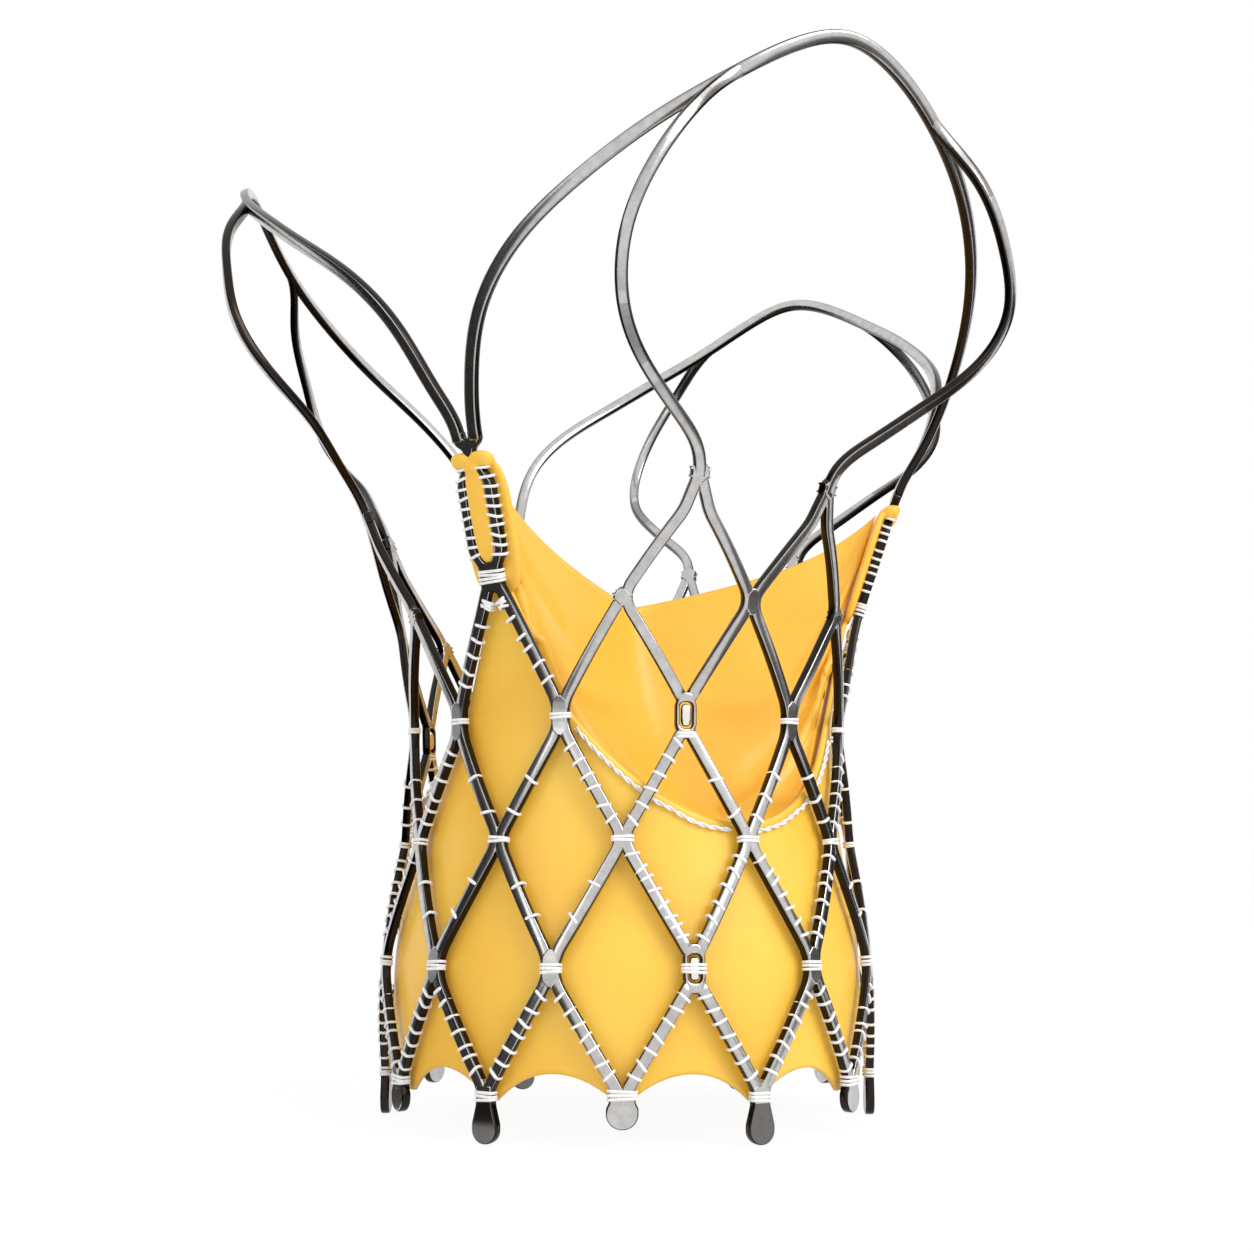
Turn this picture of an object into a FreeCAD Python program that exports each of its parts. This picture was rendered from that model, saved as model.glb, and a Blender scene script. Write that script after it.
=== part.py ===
import FreeCAD, Part
import os
from math import acos, asin, atan, cos, degrees, hypot, radians, sin, tan

# Transcatheter aortic valve: a self-expanding stent with three closed tissue leaflets.
# Millimetres, +Z up from the inflow end to the outflow crown. Azimuth 0 faces -Y and grows towards +X.
# One leaflet, and one crown arch above it, is centred on azimuth 0, and the others follow every third.

# Lattice heights, measured at the meeting points of the strut centre-lines
third = 120.0
cells_around = 12
pitch = 360.0 / cells_around
long_paddle_drop = 2.38
short_paddle_drop = 1.49
lower_bar_rise = 5.18
lower_bar_length = 1.07
crossing_rise = 5.47
upper_bar_rise = 5.26
upper_bar_length = 1.30
sinus_rise = 4.97
post_node_rise = 5.79
shoulder_rise = 5.90
post_slot_rise = 0.85
post_slot_length = 4.90
post_neck_length = 0.45
arch_rise = 18.2
crown_root_rise = 0.45
root_angle = 1.8
crown_flare = 21.0

# Outer radius of the stent at those heights
tip_radius = 13.0
belt_radius = 13.13
crossing_radius = 12.2
waist_radius = 11.76
sinus_radius = 12.63
shoulder_radius = 14.6
post_top_radius = 15.0
crown_radius = 21.7
branch_bow_radius = 22.6

# Metal sections
wall = 0.45
strut_width = 0.56
bar_width = 0.88
eyelet_bar_width = 1.04
arch_width = 0.64
arch_wall = 0.50
branch_width = 0.60
branch_wall = 0.44
post_half_width = 1.05
post_leg_width = 0.50
post_neck_width = 0.52
post_waist_width = 1.24
long_neck_width = 0.92
long_head_diameter = 1.40
short_neck_width = 1.22
short_head_diameter = 1.50
paddle_shoulder = 0.2
long_neck_z = 1.8
short_neck_z = 2.06
bar_round = 1.3
crossing_round = 0.45
crotch_round = 0.3
neck_round = 0.8
shoulder_round = 1.2
post_round = 0.6
post_head_taper = 0.95
post_foot_taper = 0.75
slot_taper = 0.82

# The struts bend upright at an elbow before they meet at a shoulder
elbow_angle = 2.6
elbow_drop = 1.9
elbow_round = 2.0

# How finely the round shapes are broken into flats
facets = 48
round_step = 34.0
arch_steps = 28
branch_steps = 12

# Radiopaque markers in the eyelets
marker_width = 0.60
marker_length = 1.24
marker_clearance = 0.02
marker_recess = 0.05
marker_round = 0.24

# Tissue
skirt_gap = 0.30
skirt_wall = 0.28
skirt_low = 2.0
scallop_rise = 1.36
scallop_half_angle = 14.2
skirt_hem = 0.45
scallop_steps = 6
trim_steps = 5
leaflet_wall = 0.30
tissue_clearance = 0.05
seam_low_rise = 0.35
seam_side_rise = 5.7
seam_end_angle = 57.0
coaptation_gap = 0.12
centre_drop = 5.2
centre_round = 0.2
belly_reach = 0.45
belly_depth = 0.5
leaflet_columns = 16
leaflet_rows = 5
leaflet_end_drop = 0.9
leaflet_end_gap = 0.25
tab_wall = 0.45
tab_half_width = 1.30
tab_low_drop = 0.15
tab_round = 0.4
lobe_wall = 0.40
lobe_rise = 0.45
lobe_gap = 0.15
tongue_drop = 0.5
lobe_length = 1.9
lobe_half_width = 1.15
lobe_cleft = 0.2

# Suture thread, in turns around the metal
thread = 0.20
thread_clearance = 0.035
turn_pitch = 0.21
long_lash_rise = 0.12
short_lash_rise = 0.37
paddle_turns = 3
bar_turns = 2
post_turns = 3
crossing_lash_width = 1.00
seam_cord_start = 4.0
seam_cord_stop = 3.5
seam_cord_steps = 7

# Heights that follow from the rises
crotch_z = long_paddle_drop
bar1_low = crotch_z + lower_bar_rise
bar1_high = bar1_low + lower_bar_length
crossing_z = bar1_high + crossing_rise
bar3_low = crossing_z + upper_bar_rise
bar3_high = bar3_low + upper_bar_length
sinus_z = bar3_high + sinus_rise
post_node_z = bar3_high + post_node_rise
shoulder_z = sinus_z + shoulder_rise
slot_low = post_node_z + post_slot_rise
slot_high = slot_low + post_slot_length
post_top_z = slot_high + post_neck_length
peak_z = post_top_z + arch_rise
short_tip_z = crotch_z - short_paddle_drop
bar1_z = (bar1_low + bar1_high) / 2
bar3_z = (bar3_low + bar3_high) / 2
level_heights = [bar1_z, crossing_z, bar3_z, sinus_z, shoulder_z, post_top_z]


def band_value(knots, x):
    """Straight-line value between (x, y) knots, carried on past both ends."""
    i = 0
    while i < len(knots) - 2 and x > knots[i + 1][0]:
        i += 1
    (x0, y0), (x1, y1) = knots[i], knots[i + 1]
    return y0 + (y1 - y0) * (x - x0) / (x1 - x0)


def outer_radius(z):
    """Outer radius of the stent wall at height z."""
    return band_value([(0.0, tip_radius), (bar1_z, belt_radius), (crossing_z, crossing_radius),
                       (bar3_z, waist_radius), (sinus_z, sinus_radius),
                       (shoulder_z, shoulder_radius), (post_top_z, post_top_radius)], z)


def lean(z):
    """Angle of the wall from upright at height z, in degrees, positive where it flares."""
    step = 0.05
    return degrees(atan((outer_radius(z + step) - outer_radius(z - step)) / (2 * step)))


def face_radius(z):
    """Distance from the axis to the middle of one of the wall's flat facets."""
    return outer_radius(z) * cos(radians(180.0 / facets))


def point(azimuth, radius, z):
    a = radians(azimuth)
    return FreeCAD.Vector(radius * sin(a), -radius * cos(a), z)


def turned(shape, azimuth):
    copy = shape.copy()
    copy.rotate(FreeCAD.Vector(0, 0, 0), FreeCAD.Vector(0, 0, 1), azimuth)
    return copy


def flat_face(points):
    return Part.Face(Part.makePolygon(points + points[:1]))


def solid_of(faces):
    shell = Part.Shell(faces)
    shell.sewShape()
    solid = Part.Solid(shell)
    if solid.Volume < 0:
        solid.reverse()
    return solid


def faceted_wall(low, high, depth_out, depth_in):
    """Tube that follows the stent's profile between two depths inside it, in flat facets."""
    heights = [low] + [z for z in level_heights if low + 0.3 < z < high - 0.3] + [high]
    angles = [360.0 * (i + 0.5) / facets for i in range(facets)]
    rings = []
    for z in heights:
        radii = (outer_radius(z) - depth_out, outer_radius(z) - depth_in)
        rings.append([[point(a, radius, z) for a in angles] for radius in radii])
    faces = []
    for i in range(facets):
        j = (i + 1) % facets
        for below, above in zip(rings, rings[1:]):
            for side in (0, 1):
                faces.append(flat_face([below[side][i], below[side][j], above[side][j], above[side][i]]))
        for ring in (rings[0], rings[-1]):
            faces.append(flat_face([ring[0][i], ring[0][j], ring[1][j], ring[1][i]]))
    return solid_of(faces)


def outline_points(corners):
    """Points round a closed polygon of (x, z, inset, radius) corners.

    The inset belongs to the side that starts at its corner, and moves that side inwards.
    """
    count = len(corners)
    area = sum(corners[i][0] * corners[(i + 1) % count][1] - corners[(i + 1) % count][0] * corners[i][1]
               for i in range(count))
    turn = 1 if area > 0 else -1
    sides = []
    for i in range(count):
        x0, z0, inset, _ = corners[i]
        x1, z1 = corners[(i + 1) % count][:2]
        length = hypot(x1 - x0, z1 - z0)
        dx, dz = (x1 - x0) / length, (z1 - z0) / length
        sides.append((x0 - turn * dz * inset, z0 + turn * dx * inset, dx, dz))
    inner = []
    for i in range(count):
        ax, az, adx, adz = sides[i - 1]
        bx, bz, bdx, bdz = sides[i]
        cross = adx * bdz - adz * bdx
        reach = ((bx - ax) * bdz - (bz - az) * bdx) / cross
        inner.append((ax + adx * reach, az + adz * reach))
    trims = []
    lengths = []
    for i in range(count):
        adx, adz = sides[i - 1][2:]
        bdx, bdz = sides[i][2:]
        bend = acos(max(-1.0, min(1.0, adx * bdx + adz * bdz)))
        after = hypot(inner[(i + 1) % count][0] - inner[i][0], inner[(i + 1) % count][1] - inner[i][1])
        trims.append(corners[i][3] * tan(bend / 2) + 1e-9)
        lengths.append(after)
    fits = [min(1.0, 0.96 * lengths[i] / (trims[i] + trims[(i + 1) % count])) for i in range(count)]
    trims = [trims[i] * min(fits[i - 1], fits[i]) for i in range(count)]
    points = []
    for i in range(count):
        x, z = inner[i]
        adx, adz = sides[i - 1][2:]
        bdx, bdz = sides[i][2:]
        if corners[i][3] == 0:
            points.append((x, z))
            continue
        bend = acos(max(-1.0, min(1.0, adx * bdx + adz * bdz)))
        start = (x - adx * trims[i], z - adz * trims[i])
        end = (x + bdx * trims[i], z + bdz * trims[i])
        parts = max(1, round(degrees(bend) / round_step))
        for k in range(parts + 1):
            s = k / parts
            weights = ((1 - s) ** 2, 2 * s * (1 - s) * cos(bend / 2), s * s)
            total = sum(weights)
            px = (weights[0] * start[0] + weights[1] * x + weights[2] * end[0]) / total
            pz = (weights[0] * start[1] + weights[1] * z + weights[2] * end[1]) / total
            points.append((px, pz))
    return points


def radial_cutter(azimuth, corners, near, far):
    """Prism through the wall, with a rounded outline drawn in the plane that faces an azimuth."""
    spots = [FreeCAD.Vector(x, -near, z) for x, z in outline_points(corners)]
    return turned(flat_face(spots).extrude(FreeCAD.Vector(0, near - far, 0)), azimuth)


def across(angle, radius):
    """Sideways distance in the plane at a radius for an angle from the outline's centre."""
    return radius * tan(radians(angle))


def window(azimuth, corners, low, high):
    """Window through the stent wall. Corners are (angle, z, inset, radius), seen from outside."""
    flat = []
    for angle, z, inset, radius in corners:
        flat.append((outer_radius(z) * sin(radians(angle)), z, inset, radius))
    radii = [outer_radius(low + (high - low) * i / 8) for i in range(9)]
    return radial_cutter(azimuth, flat, min(radii) - 3 * wall, max(radii) + 2 * wall)


def bar_half(azimuth):
    """Half the width of the vertical bar at an azimuth: the eyelet bars are wider."""
    on_eyelet = min(abs((azimuth - a + 180) % 360 - 180) for a in eyelet_azimuths) < 1
    return (eyelet_bar_width if on_eyelet else bar_width) / 2


half_strut = strut_width / 2
eyelet_azimuths = [-pitch / 2 + third * i for i in range(3)]
long_paddle_azimuths = [2 * pitch * i for i in range(cells_around // 2)]
short_paddle_azimuths = [2 * pitch * i + pitch for i in range(cells_around // 2)]
post_azimuths = [third / 2 + third * i for i in range(3)]


def paddle_side(width, diameter, tip_z, neck_low, side):
    """Points down one side of a paddle, as (distance from its middle, z, radius)."""
    head_z = tip_z + diameter / 2
    strut_z = crotch_z + (bar1_low - crotch_z) * (width / 2) / side
    return [(width / 2, strut_z, crotch_round), (width / 2, neck_low, neck_round),
            (diameter / 2, head_z + paddle_shoulder, post_round), (diameter / 2, tip_z, 0.96 * diameter / 2)]


def paddle_gap(azimuth, left_long):
    """Opening between two neighbouring paddles, up to the lower bar over it."""
    low, high = -1.5, bar1_low
    side = tip_radius * sin(radians(pitch / 2))
    long_side = paddle_side(long_neck_width, long_head_diameter, 0.0, long_neck_z, side)
    short_side = paddle_side(short_neck_width, short_head_diameter, short_tip_z, short_neck_z, side)
    left, right = (long_side, short_side) if left_long else (short_side, long_side)
    corners = [(0.0, high, half_strut, 0)]
    for x, z, radius in left:
        corners.append((-side + x, z, 0.0, radius))
    corners.append((-side - 0.2, left[-1][1] - 0.02, 0.0, 0.01))
    corners.append((-side - 0.2, low, 0.0, 0.01))
    corners.append((side + 0.2, low, 0.0, 0.01))
    corners.append((side + 0.2, right[-1][1] - 0.02, 0.0, 0.01))
    for x, z, radius in reversed(right):
        corners.append((side - x, z, 0.0, radius))
    corners[-1] = corners[-1][:2] + (half_strut,) + corners[-1][3:]
    return radial_cutter(azimuth, corners, tip_radius - 4 * wall, tip_radius + 3 * wall)


def lower_cell(azimuth):
    """Cell over a paddle, between two lower bars, from the paddle's crotch to the crossing."""
    half = pitch / 2
    right, left = bar_half(azimuth + half), bar_half(azimuth - half)
    corners = [(0, crotch_z, half_strut, 0),
               (half, bar1_low, right, bar_round), (half, bar1_high, half_strut, bar_round),
               (0, crossing_z, half_strut, 0),
               (-half, bar1_high, left, bar_round), (-half, bar1_low, half_strut, bar_round)]
    return window(azimuth, corners, crotch_z, crossing_z)


def middle_cell(azimuth):
    """Diamond between two crossings, from a lower bar to the upper bar over it."""
    half = pitch / 2
    corners = [(0, bar1_high, half_strut, 0), (half, crossing_z, half_strut, crossing_round),
               (0, bar3_low, half_strut, 0), (-half, crossing_z, half_strut, crossing_round)]
    return window(azimuth, corners, bar1_high, bar3_low)


def upper_cell(azimuth, top_z):
    """Cell over a crossing, between two upper bars."""
    half = pitch / 2
    right, left = bar_half(azimuth + half), bar_half(azimuth - half)
    corners = [(0, crossing_z, half_strut, 0),
               (half, bar3_low, right, bar_round), (half, bar3_high, half_strut, bar_round),
               (0, top_z, half_strut, 0),
               (-half, bar3_high, left, bar_round), (-half, bar3_low, half_strut, bar_round)]
    return window(azimuth, corners, crossing_z, top_z)


def sinus_cell(azimuth):
    """Closed cell over an upper bar, up to the shoulder that carries a crown branch."""
    half = pitch / 2
    elbow_z = shoulder_z - elbow_drop
    corners = [(0, bar3_high, half_strut, 0), (half, sinus_z, half_strut, crossing_round),
               (elbow_angle, elbow_z, half_strut, elbow_round), (0, shoulder_z, half_strut, 0),
               (-elbow_angle, elbow_z, half_strut, elbow_round),
               (-half, sinus_z, half_strut, crossing_round)]
    return window(azimuth, corners, bar3_high, shoulder_z)


def arch_gap(azimuth):
    """Opening under the middle of a crown arch, between the two shoulders."""
    half = pitch / 2
    top = post_top_z + 3
    root_z = shoulder_z + crown_root_rise
    elbow_z = shoulder_z - elbow_drop
    corners = [(0, sinus_z, half_strut, 0), (half - elbow_angle, elbow_z, half_strut, elbow_round),
               (half, shoulder_z, half_strut, shoulder_round), (half, root_z, 0, 0),
               (half + root_angle, root_z, 0, 0), (half + root_angle, top, 0, 0),
               (-half - root_angle, top, 0, 0), (-half - root_angle, root_z, 0, 0),
               (-half, root_z, half_strut, 0), (-half, shoulder_z, half_strut, shoulder_round),
               (-half + elbow_angle, elbow_z, half_strut, elbow_round)]
    return window(azimuth, corners, sinus_z, top)


def post_gap(azimuth, side):
    """Opening between a post and a shoulder. It is centred on the upper bar, side is +1 or -1."""
    half = pitch / 2
    top = post_top_z + 3
    root_z = shoulder_z + crown_root_rise
    elbow_z = shoulder_z - elbow_drop
    post_angle = half - degrees(atan(post_half_width / outer_radius(slot_low)))
    waist_angle = half - degrees(atan(post_waist_width / 2 / outer_radius(slot_low)))
    neck_angle = half - degrees(atan(post_neck_width / 2 / outer_radius(post_top_z)))
    strut_z = bar3_high + (post_node_z - bar3_high) * waist_angle / half
    corners = [(0, bar3_high, half_strut, 0), (-half, sinus_z, half_strut, crossing_round),
               (-2 * half + elbow_angle, elbow_z, half_strut, elbow_round),
               (-2 * half, shoulder_z, half_strut, shoulder_round), (-2 * half, root_z, 0, 0),
               (-2 * half - root_angle, root_z, 0, 0), (-2 * half - root_angle, top, 0, 0),
               (neck_angle, top, 0, 0), (neck_angle, slot_high + post_neck_length / 2, 0, post_round),
               (post_angle, slot_high - post_head_taper, 0, 1.5 * post_round),
               (post_angle, slot_low + post_foot_taper, 0, post_round),
               (waist_angle, slot_low, 0, crotch_round), (waist_angle, strut_z, half_strut, crotch_round)]
    corners = [(side * angle, z, inset, radius) for angle, z, inset, radius in corners]
    return window(azimuth, corners, bar3_high, top)


def post_slot(azimuth):
    """Long slot between a post's two legs."""
    reference = outer_radius((slot_low + slot_high) / 2) - wall / 2
    half = post_half_width - post_leg_width
    low, high = slot_low + slot_taper, slot_high - slot_taper
    corners = [(0, slot_low, 0, crotch_round), (half, low, 0, post_round), (half, high, 0, post_round),
               (0, slot_high, 0, crotch_round), (-half, high, 0, post_round), (-half, low, 0, post_round)]
    return radial_cutter(azimuth, corners, reference - 4 * wall, reference + 5 * wall)


def eyelet(azimuth, z, grow, near, far):
    """Rounded slot through a bar, or its plug. Grow widens it all round."""
    half_x = marker_width / 2 + grow
    half_z = marker_length / 2 + grow
    corners = [(half_x, z - half_z, 0, marker_round), (half_x, z + half_z, 0, marker_round),
               (-half_x, z + half_z, 0, marker_round), (-half_x, z - half_z, 0, marker_round)]
    return radial_cutter(azimuth, corners, near, far)


def marker(azimuth, z):
    """Radiopaque plug that fills an eyelet."""
    near = face_radius(z) - wall + marker_recess
    return eyelet(azimuth, z, 0.0, near, face_radius(z) - marker_recess)


def smooth_curve(points):
    curve = Part.BSplineCurve()
    curve.interpolate(points)
    return curve


ring_signs = [(1, 1), (1, -1), (-1, -1), (-1, 1)]


def bar_solid(rings):
    """Solid through a row of four-cornered rings, in flat triangles."""
    faces = []
    for one, two in zip(rings, rings[1:]):
        for a in range(4):
            b = (a + 1) % 4
            faces += [flat_face([one[a], one[b], two[b]]), flat_face([one[a], two[b], two[a]])]
    for ring in (rings[0], rings[-1]):
        faces += [flat_face(ring[:3]), flat_face([ring[0], ring[2], ring[3]])]
    return solid_of(faces)


def ribbon(curve, width, thick_start, thick_end, steps):
    """Flat bar along a curve, with its face turned outwards and leaning with the crown's flare."""
    start, end = curve.FirstParameter, curve.LastParameter
    rings = []
    for i in range(steps + 1):
        share = i / steps
        parameter = start + (end - start) * share
        spot = curve.value(parameter)
        along = curve.tangent(parameter)[0]
        radial = FreeCAD.Vector(spot.x, spot.y, 0).normalize()
        facing = radial * cos(radians(crown_flare)) - FreeCAD.Vector(0, 0, sin(radians(crown_flare)))
        facing = (facing - along * facing.dot(along)).normalize()
        sideways = along.cross(facing)
        half_thick = (thick_start + (thick_end - thick_start) * share) / 2
        rings.append([spot + sideways * (a * width / 2) + facing * (b * half_thick) for a, b in ring_signs])
    return bar_solid(rings)


def arch_curve():
    """Centre-line of one crown arch, from post to post."""
    rise = peak_z - post_top_z
    half = third / 2
    lift = post_top_radius - wall / 2
    grow = crown_radius - post_top_radius
    share_points = [(1.0, -0.02, -0.019), (0.968, 0.042, 0.05), (0.935, 0.155, 0.225),
                    (0.866, 0.325, 0.44), (0.745, 0.48, 0.605), (0.583, 0.615, 0.75),
                    (0.42, 0.742, 0.868), (0.264, 0.857, 0.95), (0.138, 0.948, 0.987), (0.0, 1.0, 1.0)]
    left = [point(-half * a, lift + grow * g, post_top_z + rise * h) for a, h, g in share_points]
    right = [point(half * a, lift + grow * g, post_top_z + rise * h) for a, h, g in share_points[-2::-1]]
    return smooth_curve(left + right)


def branch_curve(arch):
    """Centre-line of the left inner branch, from its shoulder out and up to the arch."""
    junction = nearest_at_azimuth(arch, -pitch / 2)
    rise = junction.z - shoulder_z
    root = shoulder_radius - wall / 2
    bow = branch_bow_radius - root
    share_points = [(-15.0, -0.03, -0.02), (-15.6, 0.035, 0.04), (-20.4, 0.13, 0.2), (-27.0, 0.25, 0.47),
                    (-29.6, 0.37, 0.78), (-29.2, 0.5, 0.96), (-26.6, 0.66, 1.0), (-21.8, 0.83, 0.93)]
    points = [point(angle, root + bow * g, shoulder_z + rise * h) for angle, h, g in share_points]
    return smooth_curve(points + [junction])


def nearest_at_azimuth(arch, azimuth):
    """The arch's point over an azimuth, found by halving the curve."""
    low, high = arch.FirstParameter, arch.LastParameter
    for _ in range(40):
        middle = (low + high) / 2
        spot = arch.value(middle)
        if degrees(asin(spot.x / hypot(spot.x, spot.y))) < azimuth:
            low = middle
        else:
            high = middle
    return arch.value(low)


def crown_parts():
    """The arch over azimuth 0 and its two inner branches."""
    arch = arch_curve()
    arch_bar = ribbon(arch, arch_width, arch_wall, arch_wall, arch_steps)
    left = branch_curve(arch)
    branch = ribbon(left, branch_width, arch_wall, branch_wall, branch_steps)
    return [arch_bar, branch, branch.mirror(FreeCAD.Vector(0, 0, 0), FreeCAD.Vector(1, 0, 0))]


def lattice_windows():
    cutters = []
    for i in range(cells_around):
        over_paddle = pitch * i
        over_gap = pitch * i + pitch / 2
        under_post = any(abs((over_paddle - a + 180) % 360 - 180) < 1 for a in post_azimuths)
        cutters.append(paddle_gap(over_gap, i % 2 == 0))
        cutters.append(lower_cell(over_paddle))
        cutters.append(middle_cell(over_gap))
        cutters.append(upper_cell(over_paddle, post_node_z if under_post else sinus_z))
    for i in range(3):
        centre = third * i
        cutters.append(arch_gap(centre))
        cutters.append(post_slot(post_azimuths[i]))
        for side in (-1, 1):
            cutters.append(sinus_cell(centre + side * pitch / 2))
            cutters.append(post_gap(centre + side * (third / 2 - pitch / 2), side))
        for z in (bar1_z, bar3_z):
            near, far = outer_radius(z) - 3 * wall, outer_radius(z) + 2 * wall
            cutters.append(eyelet(eyelet_azimuths[i], z, marker_clearance, near, far))
    return cutters


def stent_frame():
    """One laser-cut tube, expanded: a diamond lattice with three posts and three crown arches."""
    tube = faceted_wall(-1.0, post_top_z + 0.6, 0.0, wall)
    lattice = tube.cut(lattice_windows())
    crown = [turned(bar, third * i) for i in range(3) for bar in crown_parts()]
    return lattice.fuse(crown)


def seam_height(angle):
    """Height of the line where a leaflet is sewn to the skirt, at an angle from its middle."""
    share = abs(angle) / (1.5 * pitch)
    low = crossing_z + seam_low_rise
    z = low + seam_side_rise * share ** 1.9
    past = max(0.0, abs(angle) - 1.5 * pitch) / (seam_end_angle - 1.5 * pitch)
    reach = post_node_z + 0.1 - low - seam_side_rise * (seam_end_angle / (1.5 * pitch)) ** 1.9
    return z + reach * past ** 1.3


def scallop(azimuth):
    """Arched cut in the skirt's lower edge, between two paddles."""
    reference = tip_radius - wall - skirt_gap
    half = across(scallop_half_angle, reference)
    corners = [(half, skirt_low - 2, 0, 0)]
    for i in range(scallop_steps + 1):
        x = half * (1 - 2 * i / scallop_steps)
        corners.append((x, skirt_low - 0.1 + scallop_rise * (1 - (x / half) ** 2), 0, 0))
    corners.append((-half, skirt_low - 2, 0, 0))
    return radial_cutter(azimuth, corners, reference - 2, reference + 2)


def skirt_trim(start, end):
    """Cut above the leaflet's seam, between two angles from the leaflet's middle."""
    middle = (start + end) / 2
    half = (end - start) / 2 + 0.8
    reference = outer_radius(seam_height(middle)) - wall - skirt_gap - skirt_wall / 2
    top = post_node_z + 4
    corners = [(across(half, reference), top, 0, 0), (across(-half, reference), top, 0, 0)]
    for i in range(trim_steps + 1):
        angle = -half + 2 * half * i / trim_steps
        corners.append((across(angle, reference), seam_height(middle + angle) + skirt_hem, 0, 0))
    return radial_cutter(middle, corners, reference - 2, reference + 2)


def inner_skirt():
    """Tissue cuff inside the lattice, scalloped below and cut to the leaflets' seams above."""
    depth = wall + skirt_gap
    cuff = faceted_wall(skirt_low, post_node_z + 0.1, depth, depth + skirt_wall)
    cutters = [scallop(pitch * (i + 0.5)) for i in range(cells_around)]
    side = 1.5 * pitch
    spans = [(-seam_end_angle, -side), (-side, -pitch / 2), (-pitch / 2, pitch / 2), (pitch / 2, side),
             (side, seam_end_angle)]
    for i in range(3):
        cutters += [turned(skirt_trim(start, end), third * i) for start, end in spans]
    return cuff.cut(cutters)


def leaflet_point(u, v):
    """Mid-surface of a closed leaflet: u runs from post to post, v from the seam to the free edge."""
    seam_angle = seam_end_angle * u
    z_seam = seam_height(seam_angle)
    inside = wall + skirt_gap + skirt_wall + 4 * tissue_clearance + leaflet_wall / 2
    seam = point(seam_angle, outer_radius(z_seam) - inside, z_seam)
    top_z = slot_high - leaflet_end_drop
    end_radius = outer_radius(top_z) - wall - tab_wall - leaflet_wall / 2 - leaflet_end_gap
    x = u * end_radius * sin(radians(third / 2))
    offset = (leaflet_wall + coaptation_gap) / 2 / sin(radians(third / 2))
    y = offset + hypot(x / tan(radians(third / 2)), centre_round)
    share = abs(x) / (end_radius * sin(radians(third / 2)))
    edge = FreeCAD.Vector(x, -y, top_z - centre_drop * (1 - share ** 1.7))
    side = abs(u) ** 4
    level = FreeCAD.Vector(edge.x - seam.x, edge.y - seam.y, 0)
    along = (edge - seam) / 3
    first = seam + level * (belly_reach * (1 - side)) + along * side
    last = edge - FreeCAD.Vector(0, 0, belly_depth * (edge.z - seam.z) * (1 - side)) - along * side
    w = 1 - v
    return seam * w ** 3 + first * (3 * v * w * w) + last * (3 * v * v * w) + edge * v ** 3


def sheet_solid(front, back):
    """Solid sheet between two grids of points, with a rim all round."""
    columns, rows = len(front) - 1, len(front[0]) - 1
    faces = []
    for layer in (front, back):
        for i in range(columns):
            for j in range(rows):
                a, b, c, d = layer[i][j], layer[i + 1][j], layer[i + 1][j + 1], layer[i][j + 1]
                faces += [flat_face([a, b, c]), flat_face([a, c, d])]
    rim = [(i, 0) for i in range(columns)] + [(columns, j) for j in range(rows)]
    rim += [(i, rows) for i in range(columns, 0, -1)] + [(0, j) for j in range(rows, 0, -1)]
    for (i, j), (k, m) in zip(rim, rim[1:] + rim[:1]):
        a, b, c, d = front[i][j], front[k][m], back[k][m], back[i][j]
        faces += [flat_face([a, b, c]), flat_face([a, c, d])]
    return solid_of(faces)


def leaflet():
    """Closed leaflet over azimuth 0, as a sheet of even thickness."""
    columns, rows = leaflet_columns, leaflet_rows
    grid = []
    for i in range(columns + 1):
        grid.append([leaflet_point(2 * i / columns - 1, j / rows) for j in range(rows + 1)])
    front, back = [], []
    for i in range(columns + 1):
        front.append([])
        back.append([])
        for j in range(rows + 1):
            sideways = grid[min(i + 1, columns)][j] - grid[max(i - 1, 0)][j]
            upwards = grid[i][min(j + 1, rows)] - grid[i][max(j - 1, 0)]
            normal = sideways.cross(upwards).normalize()
            front[i].append(grid[i][j] + normal * (leaflet_wall / 2))
            back[i].append(grid[i][j] - normal * (leaflet_wall / 2))
    return sheet_solid(front, back)


def seated(shape, azimuth, z):
    """Place a shape on the wall. It is drawn with x sideways, -y outwards and z up the wall."""
    copy = shape.copy()
    copy.rotate(FreeCAD.Vector(0, 0, 0), FreeCAD.Vector(1, 0, 0), lean(z))
    copy.translate(FreeCAD.Vector(0, -face_radius(z), z))
    return turned(copy, azimuth)


def slab(half_outline, outermost, innermost):
    """Prism with a mirrored outline of (x, z, radius) corners, between two depths in the wall."""
    mirrored = [(-x, z, radius) for x, z, radius in reversed(half_outline) if x > 0]
    corners = [(x, z, 0, radius) for x, z, radius in half_outline + mirrored]
    spots = [FreeCAD.Vector(x, outermost, z) for x, z in outline_points(corners)]
    return flat_face(spots).extrude(FreeCAD.Vector(0, innermost - outermost, 0))


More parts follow.
